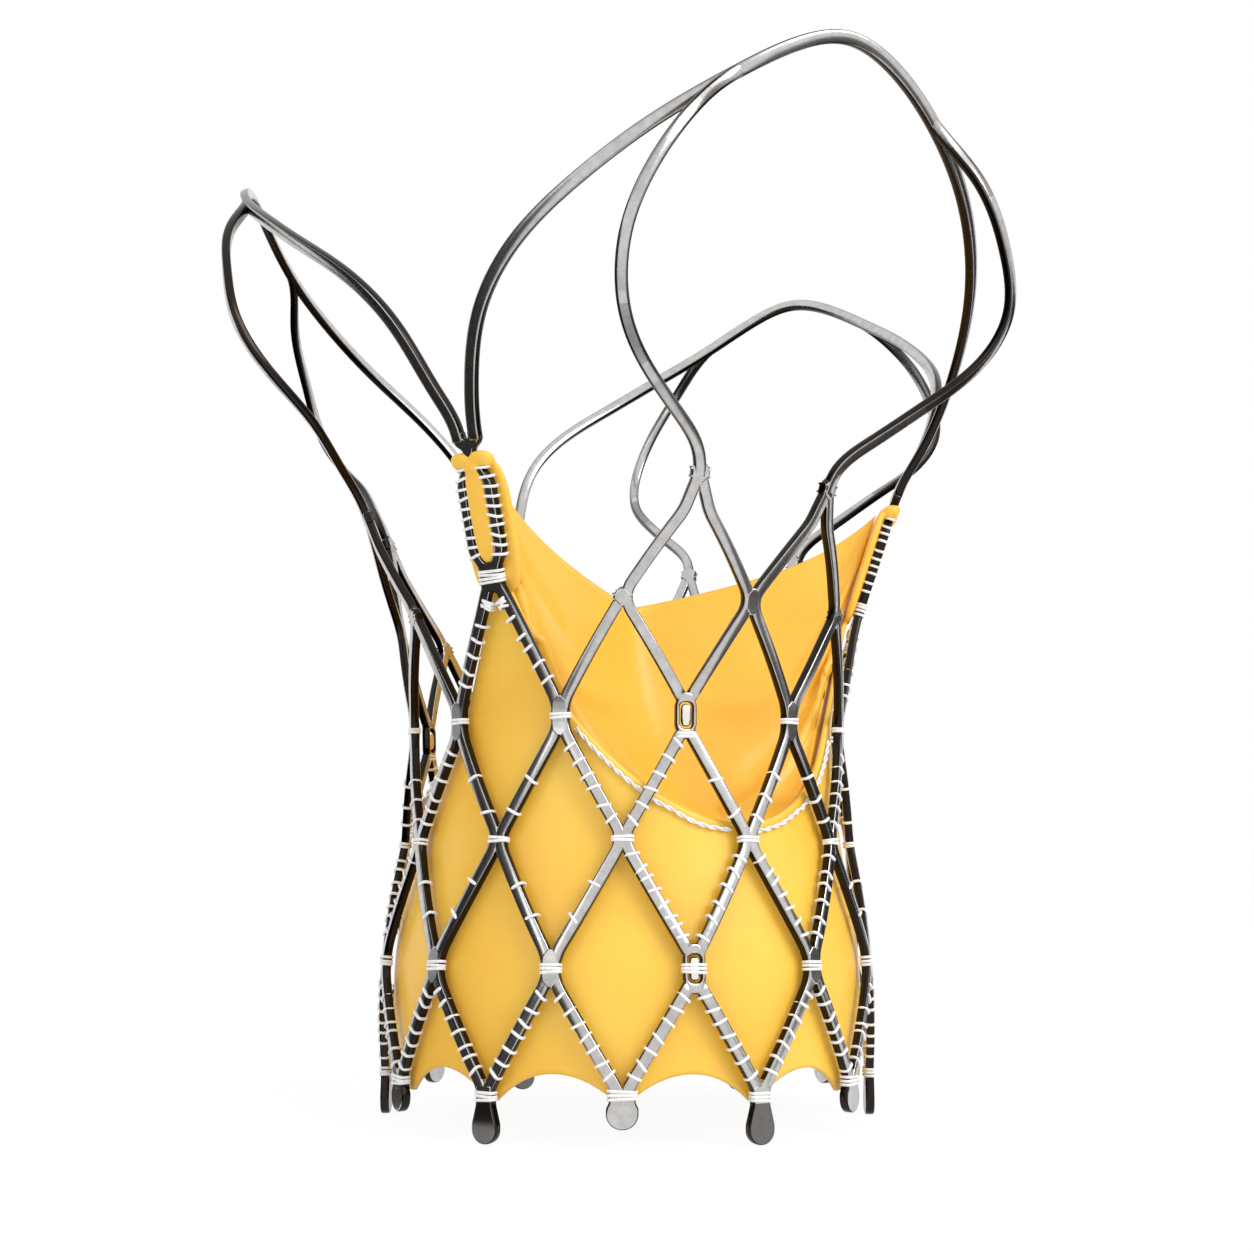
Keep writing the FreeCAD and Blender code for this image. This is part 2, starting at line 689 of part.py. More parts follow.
def commissure_tab(azimuth):
    """Tissue tab behind a post. Its tongue fills the post's slot and folds over the top as two lobes."""
    low, high = tab_low_drop - post_slot_length / 2, post_slot_length / 2
    inside = wall + tissue_clearance
    half = tab_half_width
    back = slab([(half, low, tab_round), (half, high, tab_round)], inside, inside + tab_wall)
    slot_half = post_half_width - post_leg_width - tissue_clearance
    tongue = slab([(0, low, 0), (slot_half, low + 1.1 * slot_taper, tab_round),
                   (slot_half, high - tongue_drop - slot_taper, tab_round), (0, high - tongue_drop, 0)],
                  -lobe_wall, inside + tab_wall / 2)
    top = high + lobe_rise
    lobes = slab([(0, high - lobe_length, 0), (0.82 * lobe_half_width, high - 0.5 * lobe_length, tab_round),
                  (lobe_half_width, high - 0.1 * lobe_length, tab_round),
                  (0.54 * lobe_half_width, top, tab_round), (lobe_cleft, top, lobe_cleft), (0, high, 0)],
                 -lobe_gap - lobe_wall, -lobe_gap)
    return seated(back.fuse([tongue, lobes]), azimuth, (slot_low + slot_high) / 2)


def turn_of_thread(width, height, azimuth, z):
    """Thread wound round a bar of the wall: a flat loop that is as high as its turns."""
    loop = None
    for grow in (thread_clearance + thread, thread_clearance):
        corner = FreeCAD.Vector(-width / 2 - grow, -grow, -height / 2)
        box = Part.makeBox(width + 2 * grow, wall + 2 * grow, height, corner)
        loop = loop.cut(box) if loop else box
    return seated(loop, azimuth, z)


def paddle_lashing(azimuths, width, top_z):
    """Turns of thread round each paddle's neck."""
    turns = []
    for azimuth in azimuths:
        for k in range(paddle_turns):
            turns.append(turn_of_thread(width, thread, azimuth, top_z - (k + 0.5) * turn_pitch))
    return Part.makeCompound(turns)


def lashings(azimuths, widths, z, turns):
    """Loops of thread that are several turns high, at one height round the stent."""
    loops = [turn_of_thread(width, turns * turn_pitch, a, z) for a, width in zip(azimuths, widths)]
    return Part.makeCompound(loops)


def seam_cord(side):
    """Thread along one half of a leaflet's seam, between the skirt and the lattice."""
    half = thread / 2
    depth = wall + skirt_gap / 2 + thread_clearance / 2
    end = 1.5 * pitch - seam_cord_stop
    rings = []
    for i in range(seam_cord_steps + 1):
        angle = seam_cord_start + (end - seam_cord_start) * i / seam_cord_steps
        z = seam_height(angle)
        radius = outer_radius(z) - depth
        tilt = atan((seam_height(angle + 0.5) - seam_height(angle - 0.5)) / (radius * radians(1.0)))
        ring = []
        for a, b in ring_signs:
            spot_angle = angle - degrees(a * half * sin(tilt) / radius)
            spot_z = z + a * half * cos(tilt)
            ring.append(point(side * spot_angle, outer_radius(spot_z) - depth + 0.8 * b * half, spot_z))
        rings.append(ring)
    return bar_solid(rings)


os.makedirs("parts", exist_ok=True)


def save(name, shape):
    shape.exportStep("parts/" + name + ".step")
    print(name, len(shape.Solids), "solids,", round(shape.Volume, 3), "mm3, valid", shape.isValid(),
          len(shape.tessellate(0.02)[1]), "triangles")


save("stent_frame", stent_frame())
save("inner_skirt", inner_skirt())
leaf = leaflet()
seam = Part.makeCompound([seam_cord(-1), seam_cord(1)])
waist_z = (post_node_z + slot_low) / 2
for i in range(3):
    number = str(i + 1)
    save("leaflet_" + number, turned(leaf, third * i))
    save("leaflet_seam_" + number, turned(seam, third * i))
    save("commissure_tab_" + number, commissure_tab(post_azimuths[i]))
    save("lower_marker_" + number, marker(eyelet_azimuths[i], bar1_z))
    save("upper_marker_" + number, marker(eyelet_azimuths[i], bar3_z))
    post_lash = turn_of_thread(post_waist_width, post_turns * turn_pitch, post_azimuths[i], waist_z)
    save("post_lashing_" + number, post_lash)

bar_azimuths = [pitch * (i + 0.5) for i in range(cells_around)]
bar_widths = [2 * bar_half(a) for a in bar_azimuths]
crossing_azimuths = [pitch * i for i in range(cells_around)]
crossing_widths = [crossing_lash_width] * cells_around
save("long_paddle_lashings",
     paddle_lashing(long_paddle_azimuths, long_neck_width, crotch_z + long_lash_rise))
save("short_paddle_lashings",
     paddle_lashing(short_paddle_azimuths, short_neck_width, crotch_z + short_lash_rise))
save("lower_bar_lashings", lashings(bar_azimuths, bar_widths, bar1_z, bar_turns))
save("crossing_lashings", lashings(crossing_azimuths, crossing_widths, crossing_z, bar_turns))
save("upper_bar_lashings", lashings(bar_azimuths, bar_widths, bar3_z, bar_turns))
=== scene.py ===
import bmesh
import bpy
import math
import numpy as np
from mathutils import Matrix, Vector
from mathutils.bvhtree import BVHTree


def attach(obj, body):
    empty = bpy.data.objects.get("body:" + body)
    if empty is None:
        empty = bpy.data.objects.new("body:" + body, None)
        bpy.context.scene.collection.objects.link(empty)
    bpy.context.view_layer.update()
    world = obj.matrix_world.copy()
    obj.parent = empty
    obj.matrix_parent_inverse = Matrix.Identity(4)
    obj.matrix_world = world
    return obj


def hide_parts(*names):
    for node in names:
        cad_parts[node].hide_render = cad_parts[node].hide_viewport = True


# Looks for the transcatheter aortic valve. The object's lengths are in millimetres, and its meshes are made
# in metres. Noise, bumps, lamps and the camera are given in metres.
# Azimuth 0 faces -Y and grows towards +X. Leaflets and arches are centred on 0, 120 and 240 degrees, and
# posts on 60, 180 and 300 degrees.

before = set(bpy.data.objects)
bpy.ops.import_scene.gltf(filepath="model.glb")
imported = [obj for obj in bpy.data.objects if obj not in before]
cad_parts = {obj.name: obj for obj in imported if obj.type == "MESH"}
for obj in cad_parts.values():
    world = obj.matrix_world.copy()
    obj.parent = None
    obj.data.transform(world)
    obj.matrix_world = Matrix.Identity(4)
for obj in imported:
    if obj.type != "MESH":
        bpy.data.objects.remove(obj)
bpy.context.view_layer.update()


# Levels and radii of the stent, the same as in the solids
stent = {
    "third": 120.0, "pitch": 30.0, "wall": 0.45, "strut": 0.56, "softening": 1.2,
    "barOffset": 0.16, "eyeletBarOffset": 0.24, "crossingOffset": 0.17, "elbowAngle": 2.6, "elbowDrop": 1.9,
    "crotchZ": 2.38, "barOneLow": 7.56, "barOneHigh": 8.63, "crossingZ": 14.10, "barThreeLow": 19.36,
    "barThreeHigh": 20.66, "sinusZ": 25.63, "postNodeZ": 26.45, "slotLow": 27.30, "shoulderZ": 31.53,
    "slotHigh": 32.20, "postTopZ": 32.65, "peakZ": 50.85,
    "levels": [0.0, 8.095, 14.10, 20.01, 25.63, 31.53, 32.65],
    "radii": [13.0, 13.13, 12.2, 11.76, 12.63, 14.6, 15.0],
}
posts = [60.0, 180.0, 300.0]
eyelets = [-15.0, 105.0, 225.0]


def radiusAt(z):
    # Outer radius of the stent at a height, with the bends between its straight cones softened
    shifts = np.linspace(-stent["softening"], stent["softening"], 7)
    return sum(coneRadius(np.asarray(z, float) + shift) for shift in shifts) / len(shifts)


def coneRadius(z):
    # Straight cones between the levels, carried on past both ends
    levels, radii = np.array(stent["levels"]), np.array(stent["radii"])
    last = (radii[-1] - radii[-2]) / (levels[-1] - levels[-2])
    first = (radii[1] - radii[0]) / (levels[1] - levels[0])
    inside = np.interp(z, levels, radii)
    above = np.where(z > levels[-1], radii[-1] + (z - levels[-1]) * last, inside)
    return np.where(z < levels[0], radii[0] + (z - levels[0]) * first, above)


def spot(azimuth, radius, z):
    a = np.radians(azimuth)
    return np.stack(np.broadcast_arrays(radius * np.sin(a), -radius * np.cos(a), z), axis=-1).astype(float)


def onWall(azimuth, z):
    return spot(azimuth, radiusAt(z), z)


def azimuthOf(points):
    return np.degrees(np.arctan2(points[..., 0], -points[..., 1]))


def unit(vectors):
    return vectors / np.linalg.norm(vectors, axis=-1, keepdims=True)


def outward(azimuth, z):
    # Unit normal of the stent's wall
    step = 0.3
    slope = (radiusAt(np.asarray(z) + step) - radiusAt(np.asarray(z) - step)) / (2 * step)
    return unit(spot(azimuth, 1.0, -slope))


def turned(points, azimuth):
    a = math.radians(azimuth)
    turn = np.array([[math.cos(a), -math.sin(a), 0], [math.sin(a), math.cos(a), 0], [0, 0, 1]])
    return np.asarray(points) @ turn.T


class Socket:
    # A node's output that can be added, multiplied and fed on, so that node maths reads as maths

    def __init__(self, tree, output=None):
        self.tree, self.output = tree, output

    def node(self, kind, settings=None, sockets=None, output=0):
        made = self.tree.nodes.new(kind)
        for name, value in (settings or {}).items():
            if name == "stops":
                while len(made.color_ramp.elements) < len(value):
                    made.color_ramp.elements.new(0.5)
                for element, (place, colour) in zip(made.color_ramp.elements, value):
                    element.position, element.color = place, (*colour, 1.0)
            else:
                setattr(made, name, value)
        for name, value in (sockets or {}).items():
            if isinstance(value, Socket):
                self.tree.links.new(value.output, made.inputs[name])
            else:
                made.inputs[name].default_value = value
        return Socket(self.tree, made.outputs[output])

    def maths(self, operation, first, second):
        return self.node("ShaderNodeMath", {"operation": operation}, {0: first, 1: second})

    def __add__(self, other):
        return self.maths("ADD", self, other)

    def __mul__(self, other):
        return self.maths("MULTIPLY", self, other)

    def into(self, socket):
        self.tree.links.new(self.output, socket)


def newMaterial(name, roughness, metallic=0.0, coat=0.0):
    material = bpy.data.materials.new(name)
    material.use_nodes = True
    shader = material.node_tree.nodes["Principled BSDF"]
    shader.inputs["Roughness"].default_value = roughness
    shader.inputs["Metallic"].default_value = metallic
    shader.inputs["Coat Weight"].default_value = coat
    shader.inputs["Coat Roughness"].default_value = 0.15
    return material, shader.inputs, Socket(material.node_tree)


def noise(start, scale, detail=3.0, roughness=0.55):
    place = start.node("ShaderNodeTexCoord", output="Object")
    return start.node("ShaderNodeTexNoise", None,
                      {"Vector": place, "Scale": scale, "Detail": detail, "Roughness": roughness})


def ramp(value, stops):
    return value.node("ShaderNodeValToRGB", {"stops": list(stops)}, {0: value})


def mixColour(share, first, second):
    return share.node("ShaderNodeMix", {"data_type": "RGBA"}, {0: share, 6: first, 7: second}, output=2)


def bump(value, strength, distance):
    return value.node("ShaderNodeBump", None, {"Strength": strength, "Distance": distance, "Height": value})


# Each list of tones runs from the darkest to the lightest
tonesAndShade = {
    # The near-black cut colour is painted shade, standing in for the dark surroundings that cut edges
    # mirror
    "face": [(0.50, 0.49, 0.48), (0.56, 0.55, 0.54), (0.62, 0.61, 0.60)], "cut": (0.03, 0.025, 0.022, 1.0),
    "leaflet": [(0.92, 0.47, 0.035), (0.96, 0.535, 0.05), (0.98, 0.58, 0.07)],
    "skirt": [(0.93, 0.50, 0.045), (0.97, 0.57, 0.06), (0.98, 0.62, 0.08)],
    "thread": [(0.80, 0.79, 0.78), (0.95, 0.95, 0.945)], "marker": (0.85, 0.83, 0.80, 1.0),
    # The paddle value is painted shade on the long paddles' heads, standing in for the darker ground that
    # they mirror
    "metalRoughness": 0.2, "paddleShade": 0.75,
}


def metalMaterial():
    material, shader, start = newMaterial("nitinolSatin", tonesAndShade["metalRoughness"], metallic=1.0)
    grain = noise(start, 2400.0, 2.0)
    stain = noise(start, 260.0, 2.0)
    face = ramp(stain * 0.35 + grain * 0.65, zip((0.36, 0.5, 0.62), tonesAndShade["face"]))
    # Painted shade: the marked faces turn nearly black, standing in for the dark surroundings that they
    # mirror
    cut = start.node("ShaderNodeAttribute", {"attribute_name": "cutSide"}, output="Fac")
    mixColour(cut, face, tonesAndShade["cut"]).into(shader["Base Color"])
    (stain * 0.1 + (tonesAndShade["metalRoughness"] - 0.05)).into(shader["Roughness"])
    bump(grain, 0.02, 0.00002).into(shader["Normal"])
    return material


def tissueMaterial(name, tones):
    material, shader, start = newMaterial(name, 0.42, coat=0.14)
    broad = noise(start, 110.0, 2.0)
    fine = noise(start, 1500.0, 4.0, 0.6)
    ramp(broad * 0.85 + fine * 0.15, zip((0.3, 0.5, 0.7), tones)).into(shader["Base Color"])
    (fine * 0.14 + 0.36).into(shader["Roughness"])
    bump(broad * 0.7 + fine * 0.3, 0.2, 0.0001).into(shader["Normal"])
    return material


def threadMaterial():
    material, shader, start = newMaterial("sutureWhite", 0.55, coat=0.1)
    ply = noise(start, 5200.0, 3.0)
    ramp(ply, zip((0.3, 0.6), tonesAndShade["thread"])).into(shader["Base Color"])
    bump(ply, 0.5, 0.00003).into(shader["Normal"])
    return material


def markerMaterial():
    material, shader, start = newMaterial("markerBright", 0.22, metallic=1.0)
    grain = noise(start, 1400.0, 2.0)
    shader["Base Color"].default_value = tonesAndShade["marker"]
    (grain * 0.2 + 0.14).into(shader["Roughness"])
    return material


materials = {
    "metal": metalMaterial(),
    "leaflet": tissueMaterial("leafletTissue", tonesAndShade["leaflet"]),
    "skirt": tissueMaterial("skirtTissue", tonesAndShade["skirt"]),
    "thread": threadMaterial(),
    "marker": markerMaterial(),
}
print("materials", len(materials))


def linked(name, data):
    thing = bpy.data.objects.new(name, data)
    bpy.context.scene.collection.objects.link(thing)
    return thing


def meshObject(name, points, edges=(), faces=(), material=None):
    mesh = bpy.data.meshes.new(name)
    metres = [tuple(point) for point in np.asarray(points, float) / 1000.0]
    mesh.from_pydata(metres, [tuple(map(int, e)) for e in edges], [tuple(map(int, f)) for f in faces])
    if material:
        mesh.materials.append(material)
    mesh.update()
    if len(faces):
        mesh.shade_smooth()
    return linked(name, mesh)


def evaluatedMesh(thing):
    graph = bpy.context.evaluated_depsgraph_get()
    return bpy.data.meshes.new_from_object(thing.evaluated_get(graph))


def plain(thing):
    # Bake an object's modifiers into a plain mesh
    mesh = evaluatedMesh(thing)
    thing.modifiers.clear()
    thing.data = mesh
    mesh.name = thing.name
    return thing


def modified(thing, kind, **settings):
    # Put a modifier on an object and bake it
    modifier = thing.modifiers.new(kind.lower(), kind)
    for name, value in settings.items():
        setattr(modifier, name, value)
    return plain(thing)


def joined(name, things):
    # One mesh object out of several, in the order given
    work = bmesh.new()
    for thing in things:
        work.from_mesh(thing.data)
    mesh = bpy.data.meshes.new(name)
    work.to_mesh(mesh)
    work.free()
    mesh.materials.append(things[0].data.materials[0])
    for thing in things:
        bpy.data.objects.remove(thing)
    mesh.shade_smooth()
    return linked(name, mesh)


def gridFaces(columns, rows, closed=False):
    faces = []
    wide = columns if closed else columns + 1
    for i in range(columns):
        for j in range(rows):
            here, beside = i * (rows + 1) + j, (i + 1) % wide * (rows + 1) + j
            faces.append((here, beside, beside + 1, here + 1))
    return faces


# Node trees that sweep a bar, wind a thread round a bar, and lay a twisted thread

def newTree(name, inputs):
    tree = bpy.data.node_groups.new(name, "GeometryNodeTree")
    tree.interface.new_socket(name="Geometry", in_out="INPUT", socket_type="NodeSocketGeometry")
    tree.interface.new_socket(name="Geometry", in_out="OUTPUT", socket_type="NodeSocketGeometry")
    for label in inputs:
        tree.interface.new_socket(name=label, in_out="INPUT", socket_type="NodeSocketFloat")
    entry = tree.nodes.new("NodeGroupInput")
    return tree, {socket.name: Socket(tree, socket) for socket in entry.outputs if socket.name}


def endTree(geometry, material):
    smooth = geometry.node("GeometryNodeSetShadeSmooth", None, {"Geometry": geometry})
    real = smooth.node("GeometryNodeRealizeInstances", None, {0: smooth})
    paint = real.node("GeometryNodeSetMaterial", None, {"Geometry": real, "Material": material})
    end = paint.tree.nodes.new("NodeGroupOutput")
    paint.into(end.inputs[0])


def runTree(thing, tree, **values):
    # Put a tree on an object, give its inputs by their names, and bake it
    modifier = thing.modifiers.new(tree.name, "NODES")
    modifier.node_group = tree
    for item in tree.interface.items_tree:
        if item.in_out == "INPUT" and item.name in values:
            modifier[item.identifier] = float(values[item.name])
    return plain(thing)


def attribute(start, name):
    return start.node("GeometryNodeInputNamedAttribute", {"data_type": "FLOAT_VECTOR"}, {"Name": name})


def roundedOutline(start, given, count):
    outline = start.node("GeometryNodeCurvePrimitiveQuadrilateral", None,
                         {"Width": given["Width"], "Height": given["Depth"]})
    return start.node("GeometryNodeFilletCurve", {"mode": "POLY"},
                      {"Curve": outline, "Count": count, "Radius": given["Rounding"], "Limit Radius": True})


def strandOutline(start, radius):
    return start.node("GeometryNodeCurvePrimitiveCircle", None, {"Resolution": 6, "Radius": radius})


def barTree():
    tree, given = newTree("sweptBar", ["Width", "Depth", "Rounding"])
    line = given["Geometry"].node("GeometryNodeMeshToCurve", None, {0: given["Geometry"]})
    facing = line.node("GeometryNodeSetCurveNormal", {"mode": "FREE"},
                       {"Curve": line, "Normal": attribute(line, "facing")})
    swept = line.node("GeometryNodeCurveToMesh", None,
                      {"Curve": facing, "Profile Curve": roundedOutline(line, given, 2), "Fill Caps": True})
    endTree(swept, materials["metal"])
    return tree


def windingTree():
    # One closed turn of thread on each point, as wide and deep as the bar that it goes round
    tree, given = newTree("windings", ["Width", "Depth", "Rounding", "Thread"])
    start = given["Geometry"]
    strand = strandOutline(start, given["Thread"])
    turn = start.node("GeometryNodeCurveToMesh", None,
                      {"Curve": roundedOutline(start, given, 3), "Profile Curve": strand})
    rotation = start.node("FunctionNodeAxesToRotation", {"primary_axis": "Z", "secondary_axis": "X"},
                          {0: attribute(start, "along"), 1: attribute(start, "across")})
    placed = start.node("GeometryNodeInstanceOnPoints", None,
                        {"Points": start, "Instance": turn, "Rotation": rotation})
    endTree(placed, materials["thread"])
    return tree


def twistTree():
    # Two strands twisted round each other along a line
    tree, given = newTree("twistedThread", ["Strand", "Spread", "Twist"])
    line = given["Geometry"].node("GeometryNodeMeshToCurve", None, {0: given["Geometry"]})
    length = line.node("GeometryNodeSplineParameter", output="Length")
    tilt = line.node("GeometryNodeSetCurveTilt", None, {"Curve": line, "Tilt": length * given["Twist"]})
    strand = strandOutline(line, given["Strand"])
    sides = []
    for sign in (-1.0, 1.0):
        shift = line.node("ShaderNodeCombineXYZ", None, {"X": given["Spread"] * sign})
        sides.append(line.node("GeometryNodeTransform", None, {"Geometry": strand, "Translation": shift}))
    both = line.tree.nodes.new("GeometryNodeJoinGeometry")
    for side in sides:
        side.into(both.inputs[0])
    pair = Socket(line.tree, both.outputs[0])
    swept = line.node("GeometryNodeCurveToMesh", None,
                      {"Curve": tilt, "Profile Curve": pair, "Fill Caps": True})
    endTree(swept, materials["thread"])
    return tree


trees = {"bar": barTree(), "winding": windingTree(), "twist": twistTree()}


def addVectors(thing, name, vectors):
    data = thing.data.attributes.new(name, "FLOAT_VECTOR", "POINT").data
    data.foreach_set("vector", np.asarray(vectors, np.float32).reshape(-1))


def lineObject(name, lines, facings=None):
    # Several open lines of points in one mesh, with the way that each point's bar faces
    points = np.vstack(lines)
    edges, first = [], 0
    for line in lines:
        edges += [(first + i, first + i + 1) for i in range(len(line) - 1)]
        first += len(line)
    thing = meshObject(name, points, edges)
    if facings is not None:
        addVectors(thing, "facing", np.vstack(facings))
    return thing


def tangents(line):
    return unit(np.gradient(line, axis=0))


# How the cut edges of the metal are told from its flats, and where the long paddles' heads are
# Both get painted shade, which stands in for the dark surroundings that they mirror
sides = {"crownZ": 33.0, "flat": 0.97, "gain": 5, "aside": 0.12, "under": 0.06, "ray": 0.6, "paddleZ": 1.9,
         "paddleHalf": 6}


def faceNormals(mesh):
    count = len(mesh.polygons)
    normals, centres = np.zeros(count * 3), np.zeros(count * 3)
    mesh.polygons.foreach_get("normal", normals)
    mesh.polygons.foreach_get("center", centres)
    return normals.reshape(-1, 3), centres.reshape(-1, 3) * 1000


def markSides(piece):
    # Painted shade: faces cut through the wall get up to 1 and are painted darker, for the dark
    # surroundings that such side walls mirror. Faces along it get 0, and so do cut faces where bars run
    # into each other: a point just beyond such a face lies inside the metal, and rays from it both ways
    # through the wall leave the metal first
    mesh = piece.data
    normals, centres = faceNormals(mesh)
    azimuth, z = azimuthOf(centres), centres[:, 2]
    facing = np.where((z < sides["crownZ"])[:, None], outward(azimuth, z), crownFacing(azimuth))
    level = (normals * facing).sum(axis=1)
    cut = np.clip((sides["flat"] - np.abs(level)) * sides["gain"], 0, 1)
    aside = unit(normals - facing * level[:, None] + 1e-9)
    probes = (centres + aside * sides["aside"] - facing * sides["under"] * np.sign(level)[:, None]) / 1000
    corners = [vertex.co for vertex in mesh.vertices]
    tree = BVHTree.FromPolygons(corners, [face.vertices for face in mesh.polygons])
    for k in np.flatnonzero(cut > 0.2):
        start, way = Vector(probes[k]), Vector(facing[k])
        hits = [tree.ray_cast(start, way * sign, sides["ray"] / 1000)[1] for sign in (1, -1)]
        if hits[0] and hits[1] and hits[0].dot(way) > 0.3 and hits[1].dot(way) < -0.3:
            cut[k] = 0.0
    # The long paddles' heads get painted shade too, standing in for the darker ground that they mirror
    fromLong = np.abs((azimuth + 30) % 60 - 30)
    longPaddle = (z < sides["paddleZ"]) & (fromLong < sides["paddleHalf"])
    cut = np.where(longPaddle, np.maximum(cut, tonesAndShade["paddleShade"]), cut)
    mesh.attributes.new("cutSide", "FLOAT", "FACE").data.foreach_set("value", cut.astype(np.float32))


def weighed(piece):
    # Shading normals that follow the large flats, so that only the rounded edges turn
    return modified(piece, "WEIGHTED_NORMAL", weight=60)


# The lattice: zigzag struts in each 15 degree column, two side by side at every bar and crossing

lattice = {
    "rounding": 0.085, "crotchRound": 0.5, "barRound": 2.3, "crossingRound": 1.3, "postRound": 0.6,
    "sinusRound": 0.7, "elbowRound": 3.0, "step": 0.45, "barReach": 0.6, "eyeletReach": 0.2,
    "nodeOffset": stent["crossingOffset"] - 0.2, "barRadius": 12.6, "nodeRadius": 12.4, "flatRadius": 12.5,
    "paddleStartZ": 2.0, "paddleSide": 0.3, "postSide": 1.4, "postEndZ": 27.4,
}


def filletLine(corners):
    # Points along (across, z, radius) corners with rounded bends, about a step apart
    path = [np.array(corners[0][:2], float)]
    last = len(corners) - 2
    for i, (before, here, after) in enumerate(zip(corners, corners[1:], corners[2:]), 1):
        corner = np.array(here[:2], float)
        back, ahead = np.array(before[:2]) - corner, np.array(after[:2]) - corner
        toBack, toAhead = np.linalg.norm(back), np.linalg.norm(ahead)
        cosine = np.clip(back @ ahead / (toBack * toAhead), -1, 1)
        trim = here[2] * math.tan((math.pi - math.acos(cosine)) / 2)
        trim = min(trim, (0.98 if i == 1 else 0.49) * toBack, (0.98 if i == last else 0.49) * toAhead)
        start, end = corner + back / toBack * trim, corner + ahead / toAhead * trim
        for share in np.linspace(0, 1, 9):
            path.append(start * (1 - share) ** 2 + corner * 2 * share * (1 - share) + end * share ** 2)
    path.append(np.array(corners[-1][:2], float))
    path = np.array(path)
    keep = np.r_[True, np.linalg.norm(np.diff(path, axis=0), axis=1) > 1e-4]
    path = path[keep]
    run = np.r_[0, np.cumsum(np.linalg.norm(np.diff(path, axis=0), axis=1))]
    extra = np.arange(0, run[-1], lattice["step"])
    at = np.unique(np.round(np.r_[run, extra], 4))
    at = at[np.r_[True, np.diff(at) > 0.04]]
    return np.stack([np.interp(at, run, path[:, 0]), np.interp(at, run, path[:, 1])], axis=-1)


def nearest(azimuth, places):
    return min(abs((azimuth - place + 180) % 360 - 180) for place in places)


def strutStretches(node, side):
    # A column's struts as rows of (azimuth, z, radius) corners, from the paddle up, broken at the bars
    bar = node + side * stent["pitch"] / 2
    eyelet = nearest(bar, eyelets) < 1
    offset = stent["eyeletBarOffset"] if eyelet else stent["barOffset"]
    toBar = bar - side * math.degrees(offset / lattice["barRadius"])
    atNode = node + side * math.degrees(lattice["nodeOffset"] / lattice["nodeRadius"])
    bend = 0.0 if eyelet else lattice["barRound"]

    def barEnd(z, way):
        # A plain bar's struts turn upright and run into it, an eyelet's stop short of the hole
        if eyelet:
            return [(toBar, z - way * lattice["eyeletReach"], 0)]
        return [(toBar, z, bend), (toBar, z + way * lattice["barReach"], 0)]

    inPaddle = node + side * lattice["paddleSide"]
    start = [(inPaddle, lattice["paddleStartZ"], 0), (inPaddle, stent["crotchZ"], lattice["crotchRound"])]
    crossing = [(atNode, stent["crossingZ"], lattice["crossingRound"])]
    stretches = [start + barEnd(stent["barOneLow"], 1),
                 barEnd(stent["barOneHigh"], -1)[::-1] + crossing + barEnd(stent["barThreeLow"], 1)]
    last = barEnd(stent["barThreeHigh"], -1)[::-1]
    fromArch = (node + 60) % 120 - 60
    if nearest(node, posts) < 1:
        inPost = node + side * lattice["postSide"]
        last += [(inPost, stent["postNodeZ"], lattice["postRound"]), (inPost, lattice["postEndZ"], 0)]
    elif abs(fromArch) > 1 and side * fromArch > 0:
        last += [(atNode + side * 0.5, stent["sinusZ"] - 0.1, lattice["sinusRound"]),
                 (node + side * 0.2, stent["sinusZ"] + 0.3, 0)]
    else:
        shoulder = node + side * 15.0
        elbow = shoulder - side * stent["elbowAngle"]
        last += [(atNode, stent["sinusZ"], lattice["crossingRound"]),
                 (elbow, stent["shoulderZ"] - stent["elbowDrop"], lattice["elbowRound"]),
                 (shoulder, stent["shoulderZ"] - 0.1, 0)]
    return stretches + [last]


def strutLine(corners):
    # The corners are joined in the flat pattern, where a degree is as wide as the wall's middle radius
    scale = math.radians(1.0) * lattice["flatRadius"]
    path = filletLine([(azimuth * scale, z, radius) for azimuth, z, radius in corners])
    azimuth, z = path[:, 0] / scale, path[:, 1]
    return spot(azimuth, radiusAt(z) - stent["wall"] / 2, z), outward(azimuth, z)


def latticeStruts():
    lines, facings = [], []
    for i in range(12):
        for side in (-1, 1):
            for corners in strutStretches(stent["pitch"] * i, side):
                line, facing = strutLine(corners)
                lines.append(line)
                facings.append(facing)
    thing = lineObject("struts", lines, facings)
    return runTree(thing, trees["bar"], Width=stent["wall"] / 1000, Depth=stent["strut"] / 1000,
                   Rounding=lattice["rounding"] / 1000)


# Flat plates of the same tube: paddles, eyelet bars and posts, drawn flat and laid on the wall

plates = {
    "edge": 0.1, "proud": 0.012,
    "longNeck": 0.92, "longHead": 1.40, "longTipZ": 0.0, "longNeckZ": 1.8,
    "shortNeck": 1.22, "shortHead": 1.50, "shortTipZ": 0.89, "shortNeckZ": 2.06,
    "paddleTopZ": 2.7, "neckRound": 0.8, "headShoulder": 0.2, "headRound": 0.6, "tipRound": 0.96,
    "eyeletWidth": 0.60, "eyeletLength": 1.24, "eyeletClearance": 0.02, "holeRound": 0.24,
    "eyeletBend": 0.5, "eyeletEnd": 0.3, "eyeletEndRound": 0.35,
    "barTip": 0.12, "barTipReach": 0.38, "barReach": 0.08, "barInset": 0.04, "barBend": 0.3,
    "waistHalf": 0.62, "waistZ": 26.1, "postHalf": 1.05, "postLeg": 0.50, "neckHalf": 0.30,
    "forkHalf": 0.76, "forkZ": 33.5, "crotchHalf": 0.16,
    "footTaper": 0.75, "headTaper": 0.95, "slotTaper": 0.82,
}


